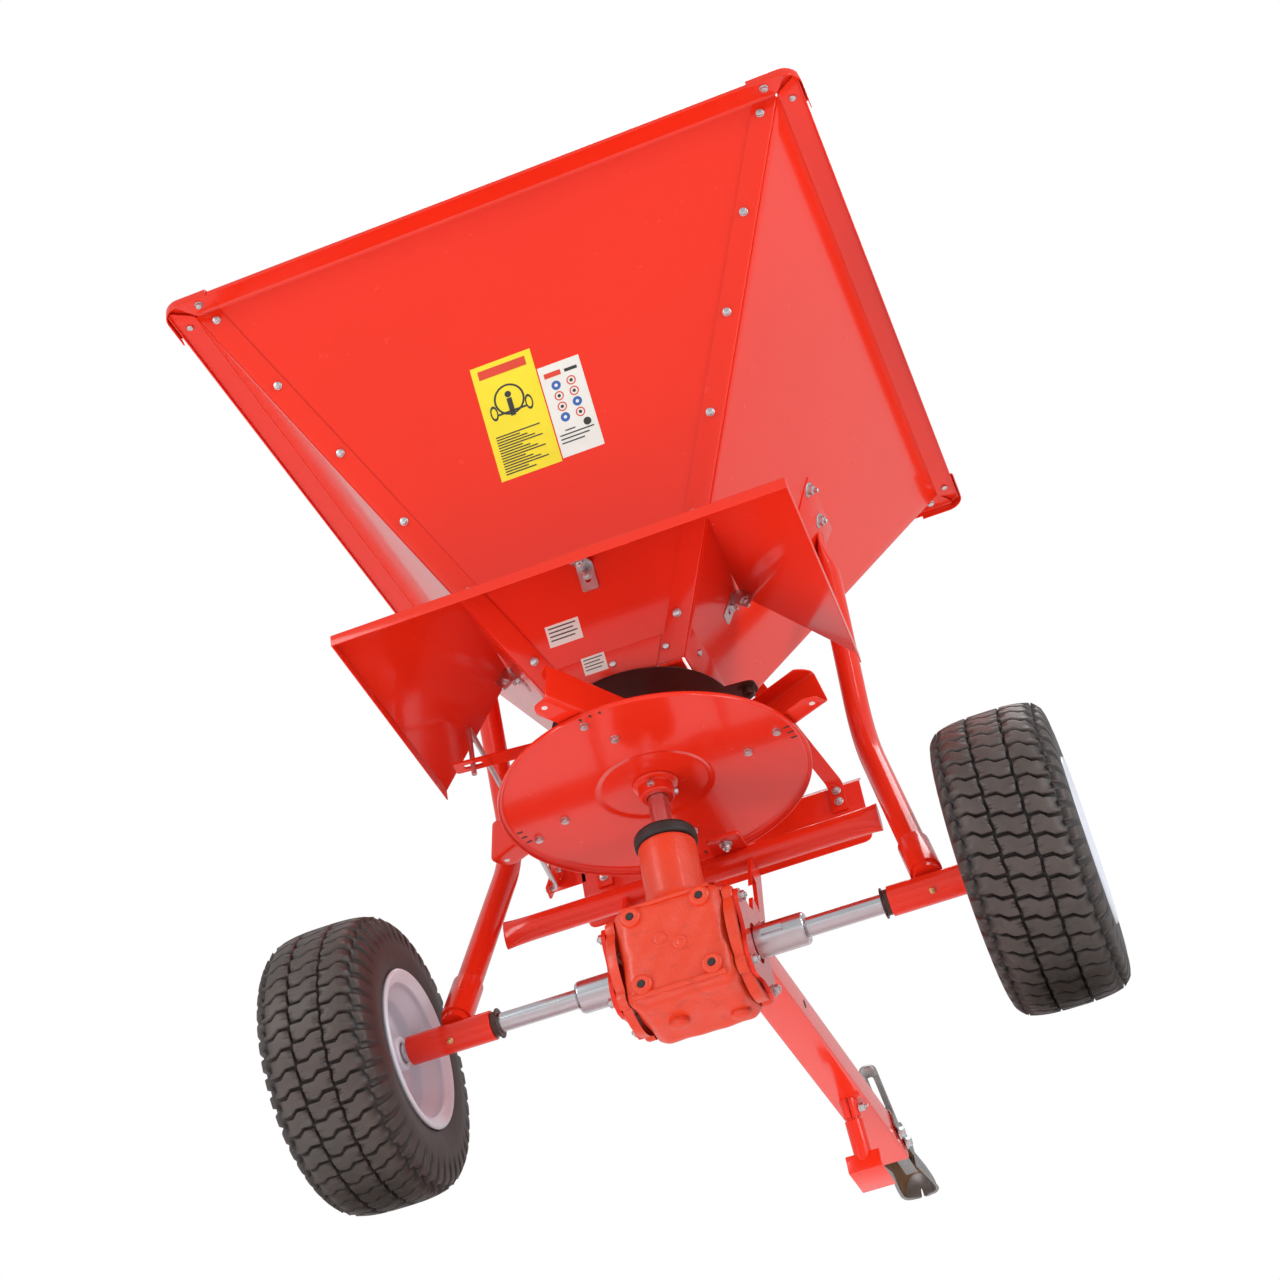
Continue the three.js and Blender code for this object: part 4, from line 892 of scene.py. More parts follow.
def drawbar():
    """A square tube: its rounded outline swept along the bar outside and again inside, with both
    ends closed by the wall."""
    w, h, wall = 30.0, 27.0, 3.0
    outer, inner = box_outline(w, h, 6, 5), box_outline(w - wall, h - wall, 4, 5)
    ends = (126.5, 1345.0)
    rows = []
    for outline, order in ((outer, np.linspace(*ends, 24)), (inner, np.linspace(*ends, 24)[::-1])):
        for y in order:
            rows.append(np.stack([outline[:, 0], np.full(len(outline), y), bar_z(y) + h + outline[:, 1]],
                                 1))
    Shape().grid(rows, around=True, along=True).make("drawbar_tube", "red", "frame", ("drawbar",),
                                                     smooth=50)
    # Black discs on the tube's sides stand for its holes: painted shade where the holes are.
    hole_shades = Shape()
    for side in (-1, 1):
        rim = [[7.2, 0.0], [7.2, 0.35], [6.2, 0.35], [5.6, 0.1], [0.1, 0.1]]
        hole_shades.solid(turned(rim, [side * w, 626, bar_z(626) + 30], [side, 0, 0], 28))
    hole_shades.make("drawbar_hole_shade", "rubber", "frame")


def stand():
    """The sleeve and the leg are turned about the leaning line; the foot is a folded plate with a
    turned-up front edge."""
    tilt = radians(18.4)
    down = np.array([0, sin(tilt), -cos(tilt)])
    mouth = np.array([0, 1008.0, 378.0])
    sleeve = Shape().grid(turned(tube_profile(14, 16.5, 46, 0.8), mouth - down * 46, down, 48), along=True)
    sleeve.make("stand_sleeve_round", "red", "frame", ("stand_sleeve",))
    clamp = Shape()
    bolt(clamp, mouth + np.array([16, 0, 0]) - down * 14, [1, 0, 0], 13, 8, 10, 8)
    clamp.make("stand_clamp_bolt", "zinc", "frame", smooth=30)
    leg = Shape().solid(turned(rounded([[12, -64], [13, -62], [13, 4], [16.5, 4.5], [16.5, 92], [15, 95]],
                                       1, 3), mouth, down, 48))
    land = float((mouth + down * 97)[1])
    near, far, low, top = land - 20, land + 76, 285.0, 315.0
    points = [[-31, near, low], [31, near, low], [31, far, low], [-31, far, low], [31, near, top],
              [-31, near, top]]
    leg.make("stand_leg_tube", "red", "stand", ("stand_leg",))
    plate = Shape().flat(points, [0, 1, 2, 3], [1, 0, 5, 4])
    thicken(plate.make("stand_foot_plate", "red", "stand", smooth=20), 4, 0.0, 1.4, 3)


def coupler():
    """Half-round sections along y whose width, height and squareness run from the channel to the
    ball seat's dome."""
    y = np.concatenate([np.linspace(1236, 1560, 46),
                        1566 + 36 * np.sin(np.radians(np.linspace(0, 89, 16)))])
    width = np.interp(y, [1236, 1395, 1445, 1530, 1566], [34.5, 34.5, 27, 34.5, 36])
    height = np.interp(y, [1236, 1395, 1440, 1520, 1566], [34, 34, 40, 48, 52])
    nose = np.sqrt(np.clip(1 - np.clip((y - 1566) / 36, 0, 1) ** 2.6, 0.004, 1))
    width, height = width * nose, 14 + (height - 14) * nose
    power = np.interp(y, [1236, 1400, 1480, 1566], [0.28, 0.32, 0.6, 1.0])
    t = np.linspace(0, pi, 33)
    rows = []
    for a, w, h, q in zip(y, width, height, power):
        c, v = np.cos(t), np.sin(t)
        x = w * np.sign(c) * np.abs(c) ** q
        z = 446 + h * np.abs(v) ** q
        x = np.concatenate([[x[0] + 3], x, [x[-1] - 3]])
        z = np.concatenate([[443.5], z, [443.5]])
        rows.append(np.stack([x, np.full(len(x), a), z], 1))
    thing = Shape().grid(rows, flip=True).make("coupler_shell", "pewter", "frame", ("coupler_body",),
                                               smooth=50)
    thicken(thing, 3.5, -1.0, 0.6)
    rows = np.array(rows)[:52, 1:-1]
    middle = np.array([0, 0, 446.0]) + rows[:, :1] * [0, 1, 0]
    lining = middle + (rows - middle) * [0.86, 1, 0.86]
    Shape().grid(lining).make("coupler_lining", "umber", "frame", smooth=50)
    bolts = Shape()
    for a in (1268, 1325):
        for side in (-1, 1):
            bolt(bolts, [side * 34.5, a, bar_z(a) + 24], [side, 0, 0], 16, 9, 13, 9 if side < 0 else 0)
    bolts.make("coupler_bolts", "zinc", "frame", smooth=30)


def coupler_handle():
    """A flat loop: rows are the outer and inner outlines at rising heights, so the edge is rounded
    all the way."""
    pin = np.array([0, 1408.0, 510.2])
    along, up = np.array([0, -0.86, 0.51]), np.array([0, 0.51, 0.86])
    outer = box_outline(86, 17, 16.5, 8) + [73, 0]
    inner = box_outline(40, 6, 5.8, 8) + [94, 0]
    rows = []
    for outline, inset, lift in ((outer, 1.0, -6), (outer, 0.0, -3), (outer, 0.0, 3), (outer, 1.0, 6),
                                 (inner, 1, 6), (inner, 0, 3),
                                 (inner, 0, -3), (inner, 1, -6)):
        middle = outline.mean(0)
        sign = -1 if outline is outer else 1
        o = middle + (outline - middle) * (1 + sign * inset / 17)
        rows.append(pin + o[:, :1] * along + o[:, 1:] * [1, 0, 0] + lift * up)
    loop = Shape().grid(rows, around=True, along=True, flip=True)
    loop.make("coupler_handle_loop", "pewter", "handle", ("coupler_handle",), smooth=60)


# ---------------------------------------------------------------- gearbox and axle
def wobble(p, size, amount):
    """Low bumps of a hand-made casting: a sum of sines of different directions and lengths."""
    out = np.zeros(p.shape[:-1])
    for i, (a, b, c) in enumerate(((1, 0.6, 0.3), (-0.5, 1, 0.7), (0.2, -0.8, 1), (1.3, 0.9, -1.1))):
        out += np.sin((p @ np.array([a, b, c])) / size * (1 + 0.37 * i) + 1.7 * i)
    return out * amount / 4


def gearbox_case():
    """Points of a box pushed in to a rounded box: the nearest inner point plus a radius outwards,
    with low casting bumps."""
    low, high, r = np.array([-78, -76, 126.0]), np.array([78, 74, 280.0]), 20.0
    middle, half = (low + high) / 2, (high - low) / 2
    n = 33
    u = np.linspace(-1, 1, n)
    a, b = np.meshgrid(u, u, indexing="ij")
    shape = Shape()
    for axis in range(3):
        for sign in (-1, 1):
            p = np.zeros((n, n, 3))
            p[..., axis], p[..., (axis + 1) % 3], p[..., (axis + 2) % 3] = sign, a, b
            p = p * half
            core = np.clip(p, -(half - r), half - r)
            away = p - core
            away /= np.linalg.norm(away, axis=-1, keepdims=True)
            p = core + away * (r + wobble(p, 17, 1.6)[..., None])
            shape.grid(p + middle, flip=sign < 0)
    boss_z = [AXLE_Z - 52, AXLE_Z + 52]
    for x in (-50, 50):
        for z in boss_z:
            ring = rounded([[15.5, -4], [14.5, 4.5], [11.5, 6.5], [6.2, 6.2], [5.4, 4.5], [5.0, -6]], 1.2,
                           4)
            shape.solid(turned(ring, [x, -76, z], [0, -1, 0], 40))
    for x, z, q in ((-14, 8, 9), (12, -6, 10), (12, -6, 5.5)):
        pad = rounded([[q + 1, -1], [q, 1.6], [q - 1.6, 2.0], [0.4, 1.2 + (10 - q) * 0.3]], 0.6, 3)
        shape.solid(turned(pad, [x, -76, AXLE_Z + z], [0, -1, 0], 32))
    shape.solid(swept(spaced([-66, -74.5, 137], [66, -74.5, 137], 12), circle(4.0, 14)))
    shape.solid(swept(spaced([-64, -74.5, 270], [64, -74.5, 270], 12), circle(3.5, 14)))
    s = sizes()
    neck = rounded([[58, 272], [47, 284], [42.5, 300], [42, s.neck_top - 2], [40, s.neck_top],
                    [32, s.neck_top]], 6, 5)
    shape.solid(turned(neck, [0, 0, 0], [0, 0, 1], 72))
    plugs = [([-28, 0, 124], [0, 0, -1]), ([52, 30, 126], [0, 0, -1])]
    for place, d in plugs:
        shape.solid(turned(rounded([[15, -4], [14, 5], [9, 8], [1, 8.5]], 2, 4), place, d, 36))
    shape.make("gearbox_casting", "cast", "frame", ("gearbox_case",), smooth=35)
    # Black plugs fill the tapped holes in the bosses up to their mouths: painted shade inside the holes.
    hole_shades = Shape()
    for x in (-50, 50):
        for z in boss_z:
            hole_shades.solid(turned([[5.2, 0], [5.2, 6.0], [4.2, 6.15], [0.2, 5.6]], [x, -76, z], [0, -1, 0],
                               24))
    hole_shades.make("gearbox_tapped_hole_shade", "rubber", "frame")


def gearbox_cover(name, node, side):
    """A round cover with four ears: the outline's radius is the larger of a circle and the ears'
    own circles."""
    def outline(t):
        reach = np.full_like(t, 78.0)
        for d in (45, 135, 225, 315):
            gap = (t - radians(d) + pi) % (2 * pi) - pi
            bend = 76 * np.sin(np.clip(np.abs(gap), 0, 0.155))
            ear = 76 * np.cos(gap) + np.sqrt(np.clip(12.5**2 - bend**2, 0, None))
            reach = np.where(np.abs(gap) < 0.16, np.maximum(reach, ear), reach)
        return reach / 78.0
    profile = np.array([[78, 0.3], [78, 11], [76.5, 14.0], [74, 15]])
    shape = Shape()
    outer = turned(profile, [side * 78, 0, AXLE_Z], [side, 0, 0], 144, outline)
    face = turned([[66, 15], [63, 13], [44, 13], [41, 17], [27, 17], [25, 15.5], [25, 2]],
                  [side * 78, 0, AXLE_Z], [side, 0, 0], 144)
    shape.grid(np.concatenate([outer, face]), around=True)
    shape.make(name, "cast", "frame", (node,), smooth=40)
    bolts = Shape()
    for d in (45, 135, 225, 315):
        a = radians(d)
        bolt(bolts, [side * 99.3, 70 * cos(a), AXLE_Z + 70 * sin(a)], [side, 0, 0], 12, 6, 9, 4)
    bolts.make(name + "_bolts", "zinc", "frame", smooth=30)


def axle_line():
    """Everything turned about the axle: shaft, sleeves with their key, end bushes and the two hub tubes."""
    s = sizes()
    centre = [0, 0, AXLE_Z]
    Shape().solid(turned(rounded([[11, -545], [13.5, -542], [13.5, 542], [11, 545]], 1, 3), centre,
                         [1, 0, 0], 64)).make(
        "axle_round", "steel", "drive_axle", ("axle_shaft",))
    for name, side in (("left", -1), ("right", 1)):
        end = s.sleeve_end - (10 if side < 0 else 0)
        profile = rounded([[14, 0.5], [23, 0.5], [23, end - 4], [20.5, end], [16, end], [14, end - 3],
                           [14, 0.5]], 1.2, 3)
        shape = Shape().grid(turned(profile, centre, [side, 0, 0], 64), along=True, around=True)
        if side > 0:
            shape.solid(swept(spaced([112, -24, AXLE_Z], [142, -24, AXLE_Z], 4), box_outline(4, 4, 0.8, 3)))
        shape.make("drive_sleeve_" + name + "_round", "steel", "drive_axle", ("drive_sleeve_" + name,))
        tube = tube_profile(16.5, 21, s.hub_out - s.hub_in, 1.2)
        hub = Shape().grid(turned(tube, [side * s.hub_in, 0, AXLE_Z], [side, 0, 0], 72), along=True,
                           around=True)
        hub.make("hub_tube_" + name + "_round", "red", "frame", ("hub_tube_" + name,))
        ring = rounded([[13.8, 0], [17.5, 0], [17.5, 6.2], [13.8, 6.2], [13.8, 0]], 1.3, 4)
        bush = Shape().grid(turned(ring, [side * (s.hub_in - 6.6), 0, AXLE_Z], [side, 0, 0], 64),
                            along=True, around=True)
        bush.make("end_ring_" + name, "dark", "frame")
        washer = rounded([[13.8, 0], [21.5, 0], [21.5, 2.2], [13.8, 2.2], [13.8, 0]], 0.6, 3)
        extra = Shape().grid(turned(washer, [side * (s.hub_in - 10), 0, AXLE_Z], [side, 0, 0], 48),
                             along=True, around=True)
        extra.make("end_washer_" + name, "dark", "frame")
        nipple = rounded([[0.5, -1], [4.2, -1], [4.2, 2.2], [2.6, 2.8], [2.6, 6], [3.4, 7], [2.2, 9.5],
                          [0.5, 10]], 0.4, 2)
        grease = Shape().solid(turned(nipple, [side * 350, -17, AXLE_Z - 12.5], [0, -0.8, -0.6], 20))
        grease.make("grease_nipple_" + name, "brass", "frame")


# ---------------------------------------------------------------- rotor and dosing
def disc():
    """The disc's section turned about its shaft: a raised middle, a flat plate and a lip turned down."""
    s = sizes()
    r, z = s.disc_r, s.disc_z
    lower = [[16, z + 3], [79, z + 3], [87, z], [r - 8, z], [r - 2.2, z - 3], [r - 2.2, z - 9]]
    upper = [[r, z - 9], [r, z - 1.5], [r - 6, z + 2], [87, z + 2], [79, z + 5], [16, z + 5], [16, z + 3]]
    profile = rounded([*lower, *upper], 2.5, 4)
    shape = Shape().grid(turned(profile, [0, 0, 0], [0, 0, 1], 180), along=True, around=True)
    shape.make("disc_pressed", "red", "rotor", ("spreading_disc",), smooth=40)
    # Black bars under the disc stand for its slots: painted shade where the slots are.
    marks = Shape()
    for base in (-10, 170, 80, 260):
        for i in range(3):
            a = radians(base + 4.0 * i)
            out = np.array([cos(a), sin(a), 0])
            ends = [out * (r - 19), out * (r - 10)]
            path = spaced(ends[0] + [0, 0, z - 0.1], ends[1] + [0, 0, z - 0.1], 3)
            marks.solid(swept(path, box_outline(1.6, 0.35, 0.3, 2)))
    marks.make("disc_slot_shade", "rubber", "rotor")
    top = z + 3
    collar = rounded([[15.6, top - 26], [24, top - 26], [26, top - 23], [26, top - 7], [33, top - 4],
                      [34, top - 0.5], [15.6, top - 0.5],
                      [15.6, top - 26]], 1.6, 4)
    hub = Shape().grid(turned(collar, [0, 0, 0], [0, 0, 1], 72), along=True, around=True)
    hub.make("disc_collar", "red", "rotor", ("disc_hub",))
    screw = Shape()
    bolt(screw, [0, -24.5, top - 14], [0, -1, 0], 9, 5, 6, 0)
    bolt(screw, [22, 12, top - 14], [0.88, 0.48, 0], 9, 5, 6, 0)
    screw.make("disc_collar_screws", "zinc", "rotor", smooth=30)
    shaft = rounded([[12, AXLE_Z + 40], [12, AXLE_Z + 57], [15, AXLE_Z + 57.5], [15, 700], [12, 704],
                     [0.5, 704]], 1, 3)
    Shape().solid(turned(shaft, [0, 0, 0], [0, 0, 1], 56)).make("output_shaft_round", "steel", "rotor",
        ("output_shaft",))
    neck = s.neck_top
    seal = rounded([[16.2, neck + 0.4], [43.5, neck + 0.4], [45.5, neck + 3], [45.5, neck + 15],
                    [43, neck + 20], [36, neck + 21],
                    [30, neck + 17], [16.2, neck + 16], [16.2, neck + 0.4]], 2.2, 4)
    ring = Shape().grid(turned(seal, [0, 0, 0], [0, 0, 1], 96), along=True, around=True)
    ring.make("seal_ring_round", "rubber", "frame", ("seal_ring",))


def vane(number, name, node):
    """A channel section carried outwards along a line beside the radius; each strand ends where the
    tip's cut says."""
    s = sizes()
    a = radians(-27.4)
    floor, height, foot, cap = s.disc_z + 2.3, 64.0, 36.0, 27.0
    corners = [[-foot, floor + 1], [0, floor + 1], [0, floor + height - 1], [-cap, floor + height - 1]]
    section = rounded(corners, 6, 6)
    section = np.concatenate([spaced(section[0], section[1], 6), section[2:-1],
                              spaced(section[-2], section[-1], 5)[1:]])
    inward = np.clip(-section[:, 0] / foot, 0, 1)
    low = section[:, 1] < floor + 12
    rise = np.clip((section[:, 1] - floor) / height, 0, 1)
    tip = np.where(low, 198 - 16 * np.clip((inward - 0.55) / 0.45, 0, 1) ** 2,
                   198 - 14 * rise**2 - 22 * inward**2)
    rows = []
    for t in np.linspace(0, 1, 26):
        x = t * tip
        rows.append(np.stack([x, section[:, 0], section[:, 1]], 1))
    p = np.array(rows)
    start = np.array([98 - 17 * sin(a), 15.4 + 17 * cos(a)])
    turn = radians(90 * (number - 1))
    flat = start + p[..., :1] * [cos(a), sin(a)] + p[..., 1:2] * [-sin(a), cos(a)]
    x = flat[..., 0] * cos(turn) - flat[..., 1] * sin(turn)
    y = flat[..., 0] * sin(turn) + flat[..., 1] * cos(turn)
    thing = Shape().grid(np.stack([x, y, p[..., 2]], -1)).make(name, "red", "rotor", (node,), smooth=50)
    thicken(thing, 2.0, 0.0, 0.5)
    bolts = Shape()
    for reach in (54, 112):
        flat = start + reach * np.array([cos(a), sin(a)]) - 18 * np.array([-sin(a), cos(a)])
        bx = flat[0] * cos(turn) - flat[1] * sin(turn)
        by = flat[0] * sin(turn) + flat[1] * cos(turn)
        bolt(bolts, [bx, by, s.disc_z + 0.3], [0, 0, -1], 11, 5, 6.4, 0)
        bolt(bolts, [bx, by, floor + 2], [0, 0, 1], 11, 6, 7.5, 4)
    flat = start + 184 * np.array([cos(a), sin(a)]) - 18 * np.array([-sin(a), cos(a)])
    bx = flat[0] * cos(turn) - flat[1] * sin(turn)
    by = flat[0] * sin(turn) + flat[1] * cos(turn)
    hole = Shape().solid(turned([[4.2, 0], [4.2, 0.35], [3.6, 0.4], [0.2, 0.2]], [bx, by, floor - 0.1],
                                [0, 0, -1], 20))
    hole.make(name + "_hole", "paper", "rotor")
    bolts.make(name + "_bolts", "zinc", "rotor", smooth=30)


def dosing():
    """The dark metering plate with its ears, and the bent control rod as one round section along a line."""
    z = 610.1
    rim = rounded([[20, z + 4], [133, z + 4], [137, z + 2], [137, z + 1], [134, z], [20, z], [20, z + 4]],
                  1.2, 4)
    shape = Shape().grid(turned(rim, [0, 0, 0], [0, 0, 1], 144), along=True, around=True)
    for side in (-1, 1):
        ear = rounded([[side * 120, -22], [side * 178, -16], [side * 178, 16], [side * 120, 22],
                       [side * 120, -22]], 12, 5)[:-1]
        ear = ear if side > 0 else ear[::-1]
        rows = [np.c_[ear, np.full(len(ear), h)] for h in (z + 0.2, z + 3.8)]
        shape.solid(rows)
    shape.make("metering_plate_round", "dark", "frame", ("metering_plate",), smooth=35)
    level, a = 614.6, radians(186.85)
    out, across = np.array([cos(a), sin(a), 0]), np.array([-sin(a), cos(a), 0])
    gate = rounded([[20, 3.6], [109, 3.6], [112, 2.4], [112, 1.2], [109, 0], [20, 0], [20, 3.6]], 1.0, 3)
    Shape().grid(turned(gate, [0, 0, level], [0, 0, 1], 120), along=True, around=True).make(
        "shutter_round", "dark", "shutter", ("shutter_plate",), smooth=35)
    arm = Shape()
    slotted_plate(arm, out * 262 + [0, 0, level], out, across, 28, 13, 14.5, 4.8, 3.6)
    middle = np.array([out * r + across * w for r, w in ((104, -13), (235, -13), (235, 13), (104, 13))])
    arm.solid([middle + [0, 0, h] for h in (level, level + 3.6)])
    arm.make("shutter_arm", "red", "shutter", smooth=35)
    bolts = Shape()
    for side in (-1, 1):
        bolt(bolts, [side * 164, 0, z], [0, 0, -1], 17, 10, 15, 6)
    bolts.make("metering_plate_nuts", "dark", "frame", smooth=30)
    rear = np.array([-260.13, -31.25, 686.0])
    along = np.array([0, 0.948, -0.319])
    front = rear + along * 349.5
    line = rounded([[rear[0], rear[1], 598], rear, front, front + [-18, 0, 0]], 9, 7)
    line = np.concatenate([line[:9], spaced(line[9], line[-9], 20)[1:-1], line[-8:]])
    Shape().solid(swept(line, circle(4.0, 20))).make("control_rod_bent", "zinc", "dosing_rod",
                                                     ("control_rod",), smooth=60)


# ---------------------------------------------------------------- wheels
def tread(turn, across):
    """Height of the tread from 0 in a groove to 1 on a block. Three columns of blocks whose cross
    grooves are kinked in the
    middle, each column shifted half a block round the tyre; along has the distance to the nearest
    groove that parts them."""
    pitch = turn * 46 / (2 * pi)
    zig = 2 * np.abs(pitch % 1.0 - 0.5) - 0.5
    v = across / 66.0 + 0.03 * zig
    edges = np.array([-0.98, -0.34, 0.34, 0.98])
    along = np.min(np.abs(v[..., None] - edges), -1)
    column = np.digitize(v, edges)
    middle = np.array([-1.2, -0.66, 0.0, 0.66, 1.2])[column]
    shift = np.array([0.0, 0.5, 0.0, 0.5, 0.0])[column]
    kink = 0.15 * np.clip((v - middle) * 14.0, -1, 1)
    phase = (pitch + shift + kink) % 1.0
    gap = np.minimum(phase, 1 - phase)
    block = np.clip((gap - 0.055) / 0.04, 0, 1) * np.clip((along - 0.018) / 0.016, 0, 1)
    notch = np.exp(-(((phase - 0.5) / 0.028) ** 2)) * (np.abs(v - middle) > 0.2)
    return block * (1 - 0.35 * notch)


def tyre(name, node, body, side):
    """The tyre's section turned about the axle, with the tread's height added outwards over the
    crown and the shoulders."""
    s = sizes()
    steps = s.tread_steps
    r, w = s.tyre_r, s.tyre_half
    groove = np.array([-2.8, -1.9, -1.0, 0, 1.0, 1.9, 2.8])
    kinks = np.array([-4.7, -3.2, -1.6, 0, 1.6, 3.2, 4.7])
    marks = [np.linspace(-66, 66, 13), groove - 22.4, groove + 22.4, kinks, kinks - 43.6, kinks + 43.6,
             [-64.6, -63.4, 63.4, 64.6]]
    crown_x = np.unique(np.round(np.concatenate(marks), 1))
    crown_r = r - 8.0 - 7.0 * (np.abs(crown_x) / 66) ** 3.2
    side_wall = np.array([[66, r - 15.0], [71, r - 19], [76, r - 27], [80, r - 40], [w, r - 55],
                          [w - 0.6, r - 66], [80.5, 126],
                          [77, 114], [71, 106], [66.5, 102]])
    inside = np.array([[60, 102], [72, 125], [74, 150], [66, 176], [0, 184]])
    right = rounded(side_wall, 4, 1)[1:]
    left = right[::-1] * [-1, 1]
    profile = np.concatenate([left, np.stack([crown_x, crown_r], 1), right, inside[:4], inside[4:],
                              inside[:4][::-1] * [-1, 1]])
    t = np.linspace(0, 2 * pi, steps, endpoint=False)
    across = np.broadcast_to(profile[:, 0, None], (len(profile), steps))
    turn = np.broadcast_to(t, across.shape)
    block = tread(turn, across)
    on_crown = np.zeros(len(profile))
    on_crown[len(left):len(left) + len(crown_x)] = 1.0
    lug = 8.0 * block * on_crown[:, None]
    shoulder = ((np.abs(profile[:, 0]) > 66) & (profile[:, 1] > r - 45)).astype(float)
    pitch = (t * 46 / (2 * pi) + 0.22) % 1.0
    bars = np.clip((np.minimum(pitch, 1 - pitch) - 0.14) / 0.07, 0, 1)
    fade = np.clip((profile[:, 1] - (r - 46)) / 24, 0, 1)
    lug = lug + 5.5 * shoulder[:, None] * bars[None, :] * fade[:, None]
    ribs = 0.9 * np.exp(-((profile[:, 1] - 128) / 1.2) ** 2) + 0.9 * np.exp(-((profile[:,
        1] - 117) / 1.0) ** 2)
    sidewall_normal = np.stack([np.sign(profile[:, 0]), np.zeros(len(profile))], 1)
    lift_dir = np.where(on_crown[:, None] > 0, [0, 1.0], 0.6 * sidewall_normal + [0, 0.8])
    rad = profile[:, 1, None] + lug * lift_dir[:, 1, None]
    x = across + lug * lift_dir[:, 0, None] + ribs[:, None] * sidewall_normal[:, 0,
        None] * (np.abs(profile[:, 0, None]) > 70)
    rad = np.minimum(rad, r)
    points = np.stack([side * s.wheel_x + side * x, rad * np.sin(t), AXLE_Z + rad * np.cos(t)], -1)
    thing = Shape().grid(points, around=True, along=True, flip=side > 0).make(name, "tyre", body, (node,),
        smooth=0)
    # crown is 0 in the grooves, where the material paints shade, and 1 on the raised blocks and bars, which
    # it paints lighter for wear and painted highlight. The plain sidewalls get 0.35.
    crown = thing.data.attributes.new("crown", "FLOAT", "POINT")
    shade = np.clip(lug / 8.0 + 0.35 * (1 - on_crown[:, None]) * (1 - shoulder[:, None]), 0, 1)
    crown.data.foreach_set("value", shade.astype(np.float32).ravel())


def rim(name, node, body, side):
    """The pressed rim turned about the axle: a dished web between the hub and the drop centre, and
    rolled outer edges."""
    s = sizes()
    inner = [[14.2, -58], [24, -58], [25, -20], [32, -14], [62, -18], [72, -26], [82, -30]]
    face = [[84, -48], [93, -62], [96.5, -68], [96.5, -76], [104, -80.5]]
    profile = rounded([*inner, [84, -34], *face, [112, -85], [116.5, -81], [112, -73.5], [101.2, -71],
                       [101.2, -58], [90, -46],
                       [90, 46], [101.2, 58], [101.2, 71], [112, 73.5], [116.5, 81], [112, 85], [104, 80.5],
                       [96.5, 76], [96.5, 68],
                       [93, 62], [84, 48], [82, -20], [72, -14], [60, -6], [34, -4], [26, -8], [24, 50],
                       [14.2, 50], [14.2, -58]], 2.4, 4)
    shape = Shape().grid(turned(profile, [side * s.wheel_x, 0, AXLE_Z], [side, 0, 0], 120), along=True,
                         around=True)
    shape.make(name, "rim", body, (node,), smooth=45)
    valve = rounded([[4.5, 0], [4.2, 10], [3.0, 12], [3.0, 28], [2.2, 30], [0.4, 30]], 0.8, 3)
    place = [side * (s.wheel_x - 50), 60, AXLE_Z + 52]
    stem = Shape().solid(turned(valve, place, [-side, -0.25, -0.2], 24))
    stem.make(name + "_valve", "rubber", body)


# ---------------------------------------------------------------- stage
def light(name, place, target, size, power, colour=(1, 1, 1)):
    data = bpy.data.lights.new(name, "AREA")
    data.shape = "RECTANGLE"
    data.size, data.size_y = size
    data.energy = power
    data.color = colour
    thing = bpy.data.objects.new(name, data)
    thing.location = place
    aim = Vector(target) - Vector(place)
    thing.rotation_euler = aim.to_track_quat("-Z", "Y").to_euler()
    bpy.context.scene.collection.objects.link(thing)


